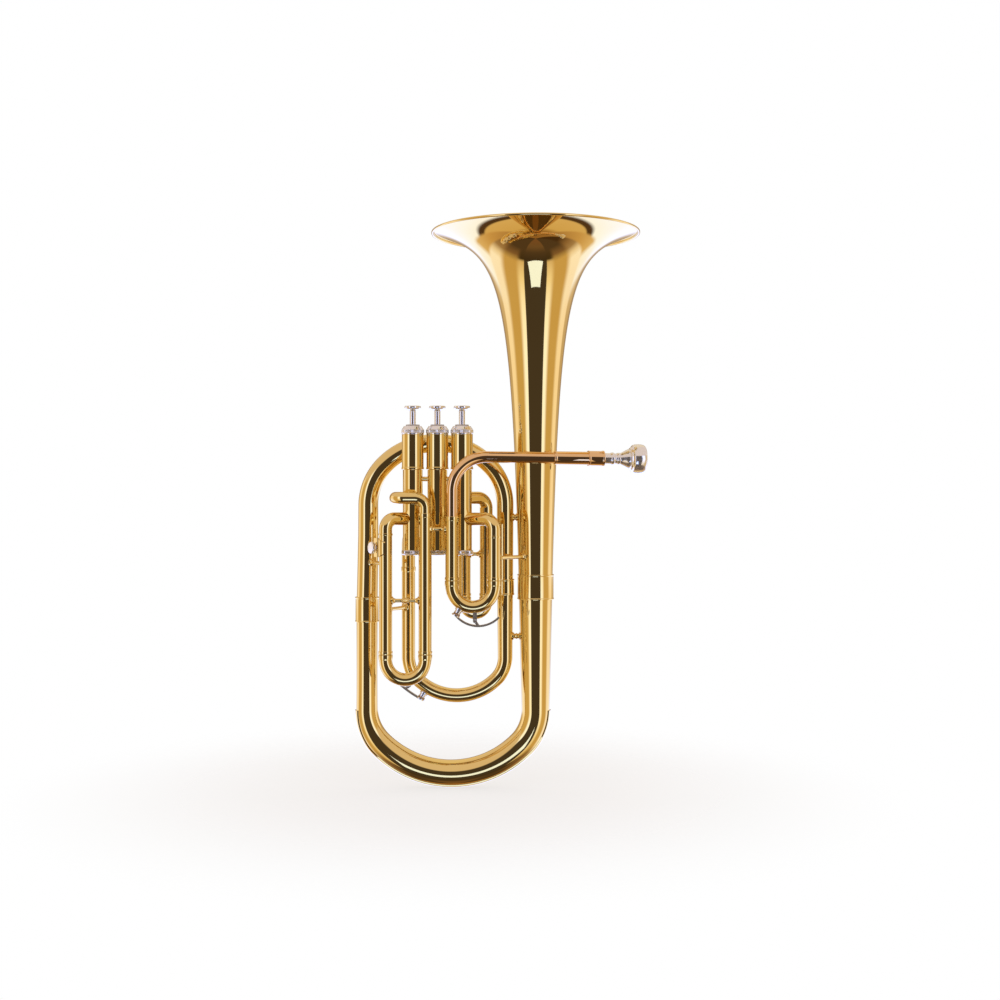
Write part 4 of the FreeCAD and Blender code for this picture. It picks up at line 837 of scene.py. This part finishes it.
def make_stays():
    """Braces from tube to tube."""
    shape = bmesh.new()
    for height, inner_radius, bell_side in ((262.6, 8.0, bell_radius(262.6)), (147, 7.4, 15.0)):
        stay(shape, spot(INNER_X, 0, height), inner_radius, spot(BELL_X, 0, height), bell_side, True)
    stay(shape, spot(MAIN_RIGHT, MAIN_Y, 224.6), SLIDE, spot(BELL_X, 0, 224.6), bell_radius(224.6))
    stay(shape, spot(THIRD_LEFT, THIRD_Y, 184.1), SLIDE, spot(THIRD_RIGHT, THIRD_Y, 184.1), SLIDE, True)
    stay(shape, spot(THIRD_LEFT, THIRD_Y, 175.3), SLIDE, spot(MEDIUM_X, 0, 175.3), 6.5)
    stay(shape, spot(THIRD_RIGHT, THIRD_Y, 251.8), SLIDE, spot(MAIN_LEFT, MAIN_Y, 251.8), SLIDE)
    stay(shape, spot(FIRST_LEFT, FIRST_Y, 227), SLIDE, spot(FIRST_RIGHT, FIRST_Y, 227), SLIDE)
    stay(shape, spot(LEFT_X + 0.9, 0, 219), 9.9, spot(THIRD_LEFT, THIRD_Y, 219), SLIDE)
    make_piece("soldered_stays", shape, "horn", "tube_stays")


def make_lyre_screw():
    """Knurled thumb screw of the lyre socket."""
    turn = math.radians(35)
    axis = spot(-math.cos(turn), -math.sin(turn), 0)
    profile = [
        (0, 0), (1.5, 0), (1.5, 1.7), (3.3, 1.7), (3.7, 3.1), (5.7, 3.6), (5.7, 6.1), (5.1, 6.8), (0, 6.8),
    ]
    shape = bmesh.new()
    lathe(shape, eased(profile), spot(-68.6, -24.0, 233.8) + axis * 2.7, axis, knurl=(32, 0.45, 3.65, 6.05))
    make_piece("thumb_screw", shape, "lyre_thumb_screw", "lyre_screw")


make_bell()
make_ferrules()
make_bows()
for valve in VALVES:
    make_valve(valve)
    make_valve_spring(valve)
make_links()
make_slide_tubes()
make_crooks()
make_leadpipe()
make_mouthpiece()
make_stays()
make_lyre_screw()


# ---------------------------------------------------------------- studio


def degrees_share(angle):
    """An angle from -90 to 90 degrees as a share from 0 to 1."""
    return (angle + 90.0) / 180.0


# Upright bands of the studio: the angles from the camera where each fades in, and its colours by elevation.
GLOOM = (0.066, 0.052, 0.046)
CEILING = (0.78, 0.66, 0.62)
BANDS = (
    (0, 0, (
        (-85, (0.20, 0.10, 0.05)), (-72, (0.17, 0.10, 0.055)), (-62, (0.09, 0.057, 0.036)),
        (-50, (0.055, 0.038, 0.026)), (-46, GLOOM), (19, GLOOM), (25, CEILING),
    )),
    (31.5, 34.0, (
        (-64, (0.09, 0.057, 0.036)), (-50, (0.06, 0.04, 0.02)), (-46, (0.78, 0.62, 0.45)),
        (-28, (1.05, 0.95, 0.85)), (-10, (1.25, 1.30, 1.75)), (0, (1.25, 1.40, 2.2)),
        (19, (1.25, 1.40, 2.2)), (25, CEILING),
    )),
    (42.0, 58.0, (
        (-66, (0.09, 0.057, 0.036)), (-54, (0.24, 0.14, 0.08)), (-48, (0.50, 0.35, 0.17)),
        (-44, (0.67, 0.47, 0.22)), (19, (0.67, 0.48, 0.23)), (25, CEILING),
    )),
    (84.0, 102.0, (
        (-70, (0.07, 0.036, 0.016)), (-60, (0.30, 0.18, 0.10)), (-52, (0.42, 0.29, 0.20)),
        (-44, (0.95, 0.86, 0.92)), (-36, (1.15, 1.18, 1.65)), (-10, (1.12, 1.12, 1.5)),
        (0, (1.10, 0.98, 0.98)), (19, (1.10, 0.98, 0.98)), (25, CEILING),
    )),
    (119.0, 127.0, (
        (-78, (0.34, 0.18, 0.07)), (-66, (0.50, 0.31, 0.15)), (-50, (0.66, 0.43, 0.20)),
        (-33, (0.82, 0.62, 0.40)), (-26, (1.15, 1.30, 2.1)), (-10, (1.15, 1.30, 2.1)),
        (-4, (0.75, 0.62, 0.50)), (2, (0.60, 0.46, 0.30)), (19, (0.60, 0.46, 0.30)), (25, CEILING),
    )),
    (144.0, 151.0, (
        (-85, (0.30, 0.15, 0.05)), (-72, (0.40, 0.22, 0.08)), (-65, (0.72, 0.52, 0.26)),
        (-46, (0.76, 0.56, 0.30)), (-44.5, (0.09, 0.05, 0.025)), (-41, (0.09, 0.05, 0.03)),
        (-38, (1.15, 1.35, 2.3)), (-10, (1.15, 1.35, 2.3)), (-4, (0.60, 0.50, 0.42)),
        (2, (0.42, 0.31, 0.21)), (19, (0.42, 0.31, 0.21)), (25, (0.85, 0.72, 0.55)),
    )),
)
STRIPE_SHIFT = 1.7


def make_world():
    """Studio light by direction: dark round the camera, tall screens beside it, pale walls behind."""
    world = bpy.data.worlds.new("studio")
    bpy.context.scene.world = world
    tree = Tree(world)
    direction = tree.add("ShaderNodeTexCoord").outputs["Generated"]
    split = tree.add("ShaderNodeSeparateXYZ")
    tree.link(direction, split.inputs[0])
    side, back, up = split.outputs
    around = tree.math("ARCTAN2", side, tree.math("MULTIPLY", back, -1.0))
    around = tree.math("ADD", tree.math("MULTIPLY", around, 180 / math.pi), STRIPE_SHIFT)
    turn = tree.math("ABSOLUTE", around)
    rise = tree.math("ADD", tree.math("DIVIDE", tree.math("ARCSINE", up), math.pi), 0.5)
    shade = None
    for start, end, stops in BANDS:
        band = tree.ramp(rise, [(degrees_share(angle), colour) for angle, colour in stops])
        if shade is None:
            shade = band
            continue
        mask = tree.add("ShaderNodeMapRange", interpolation_type="SMOOTHSTEP")
        mask.inputs["From Min"].default_value = start
        mask.inputs["From Max"].default_value = end
        tree.link(turn, mask.inputs["Value"])
        shade = tree.mix(mask.outputs["Result"], shade, band)
    paper = tree.add("ShaderNodeBackground")
    paper.inputs["Color"].default_value = (1, 1, 1, 1)
    lit = tree.add("ShaderNodeBackground")
    tree.link(shade, lit.inputs["Color"])
    choice = tree.add("ShaderNodeMixShader")
    tree.link(tree.add("ShaderNodeLightPath").outputs["Is Camera Ray"], choice.inputs[0])
    tree.link(lit.outputs[0], choice.inputs[1])
    tree.link(paper.outputs[0], choice.inputs[2])
    tree.link(choice.outputs[0], tree.add("ShaderNodeOutputWorld").inputs["Surface"])


def make_sheet():
    """A lit sheet low in front of the horn. Only reflections see it."""
    ground, near, far = -0.444, -0.84, -1.97
    near_half, far_half, middle = 0.33, 0.46, 0.05
    mesh = bpy.data.meshes.new("reflector")
    corners = [
        (middle - near_half, near, ground),
        (middle + near_half, near, ground),
        (middle + far_half, far, ground),
        (middle - far_half, far, ground),
    ]
    mesh.from_pydata(corners, [], [(0, 1, 2, 3)])
    sheet = bpy.data.objects.new("reflector", mesh)
    bpy.context.scene.collection.objects.link(sheet)
    sheet.visible_camera = False
    sheet.visible_diffuse = False
    sheet.visible_shadow = False
    material = bpy.data.materials.new("lit_sheet")
    tree = Tree(material)
    glow = tree.add("ShaderNodeEmission")
    glow.inputs["Color"].default_value = (0.45, 0.57, 1.0, 1)
    glow.inputs["Strength"].default_value = 2.45
    tree.link(glow.outputs[0], tree.add("ShaderNodeOutputMaterial").inputs["Surface"])
    mesh.materials.append(material)


def make_floor():
    """A pale floor that fades into the white studio with distance."""
    reach = 3.0
    mesh = bpy.data.meshes.new("floor")
    shape = bmesh.new()
    bmesh.ops.create_circle(shape, cap_ends=True, segments=96, radius=reach)
    shape.to_mesh(mesh)
    shape.free()
    floor = bpy.data.objects.new("floor", mesh)
    bpy.context.scene.collection.objects.link(floor)
    floor.location.z = -0.2 * MM
    floor.visible_glossy = False
    material = bpy.data.materials.new("pale_floor")
    tree = Tree(material)
    place = tree.add("ShaderNodeTexCoord").outputs["Object"]
    length = tree.add("ShaderNodeVectorMath", operation="LENGTH")
    tree.link(place, length.inputs[0])
    fade = tree.ramp(length.outputs["Value"], [(0.1, (0, 0, 0)), (0.45, (1, 1, 1))], "EASE")
    diffuse = tree.add("ShaderNodeBsdfDiffuse")
    tones = [(0.3, (0.90, 0.90, 0.90)), (0.7, (0.93, 0.93, 0.93))]
    tree.link(tree.ramp(tree.noise(place, 8.0), tones), diffuse.inputs["Color"])
    glow = tree.add("ShaderNodeEmission")
    matt = tree.add("ShaderNodeMixShader")
    matt.inputs[0].default_value = 0.72
    tree.link(diffuse.outputs[0], matt.inputs[1])
    tree.link(glow.outputs[0], matt.inputs[2])
    clear = tree.add("ShaderNodeBsdfTransparent")
    blend = tree.add("ShaderNodeMixShader")
    tree.link(fade, blend.inputs[0])
    tree.link(matt.outputs[0], blend.inputs[1])
    tree.link(clear.outputs[0], blend.inputs[2])
    tree.link(blend.outputs[0], tree.add("ShaderNodeOutputMaterial").inputs["Surface"])
    mesh.materials.append(material)


def make_camera():
    """Camera level with the middle of the horn, on the valve side."""
    data = bpy.data.cameras.new("camera")
    data.lens = CAMERA_LENS
    camera = bpy.data.objects.new("camera", data)
    camera.location = CAMERA_PLACE
    camera.rotation_euler = (math.radians(90), 0, 0)
    bpy.context.scene.collection.objects.link(camera)
    bpy.context.scene.camera = camera


make_world()
make_sheet()
make_floor()
make_camera()
bpy.context.scene.view_settings.view_transform = "Standard"
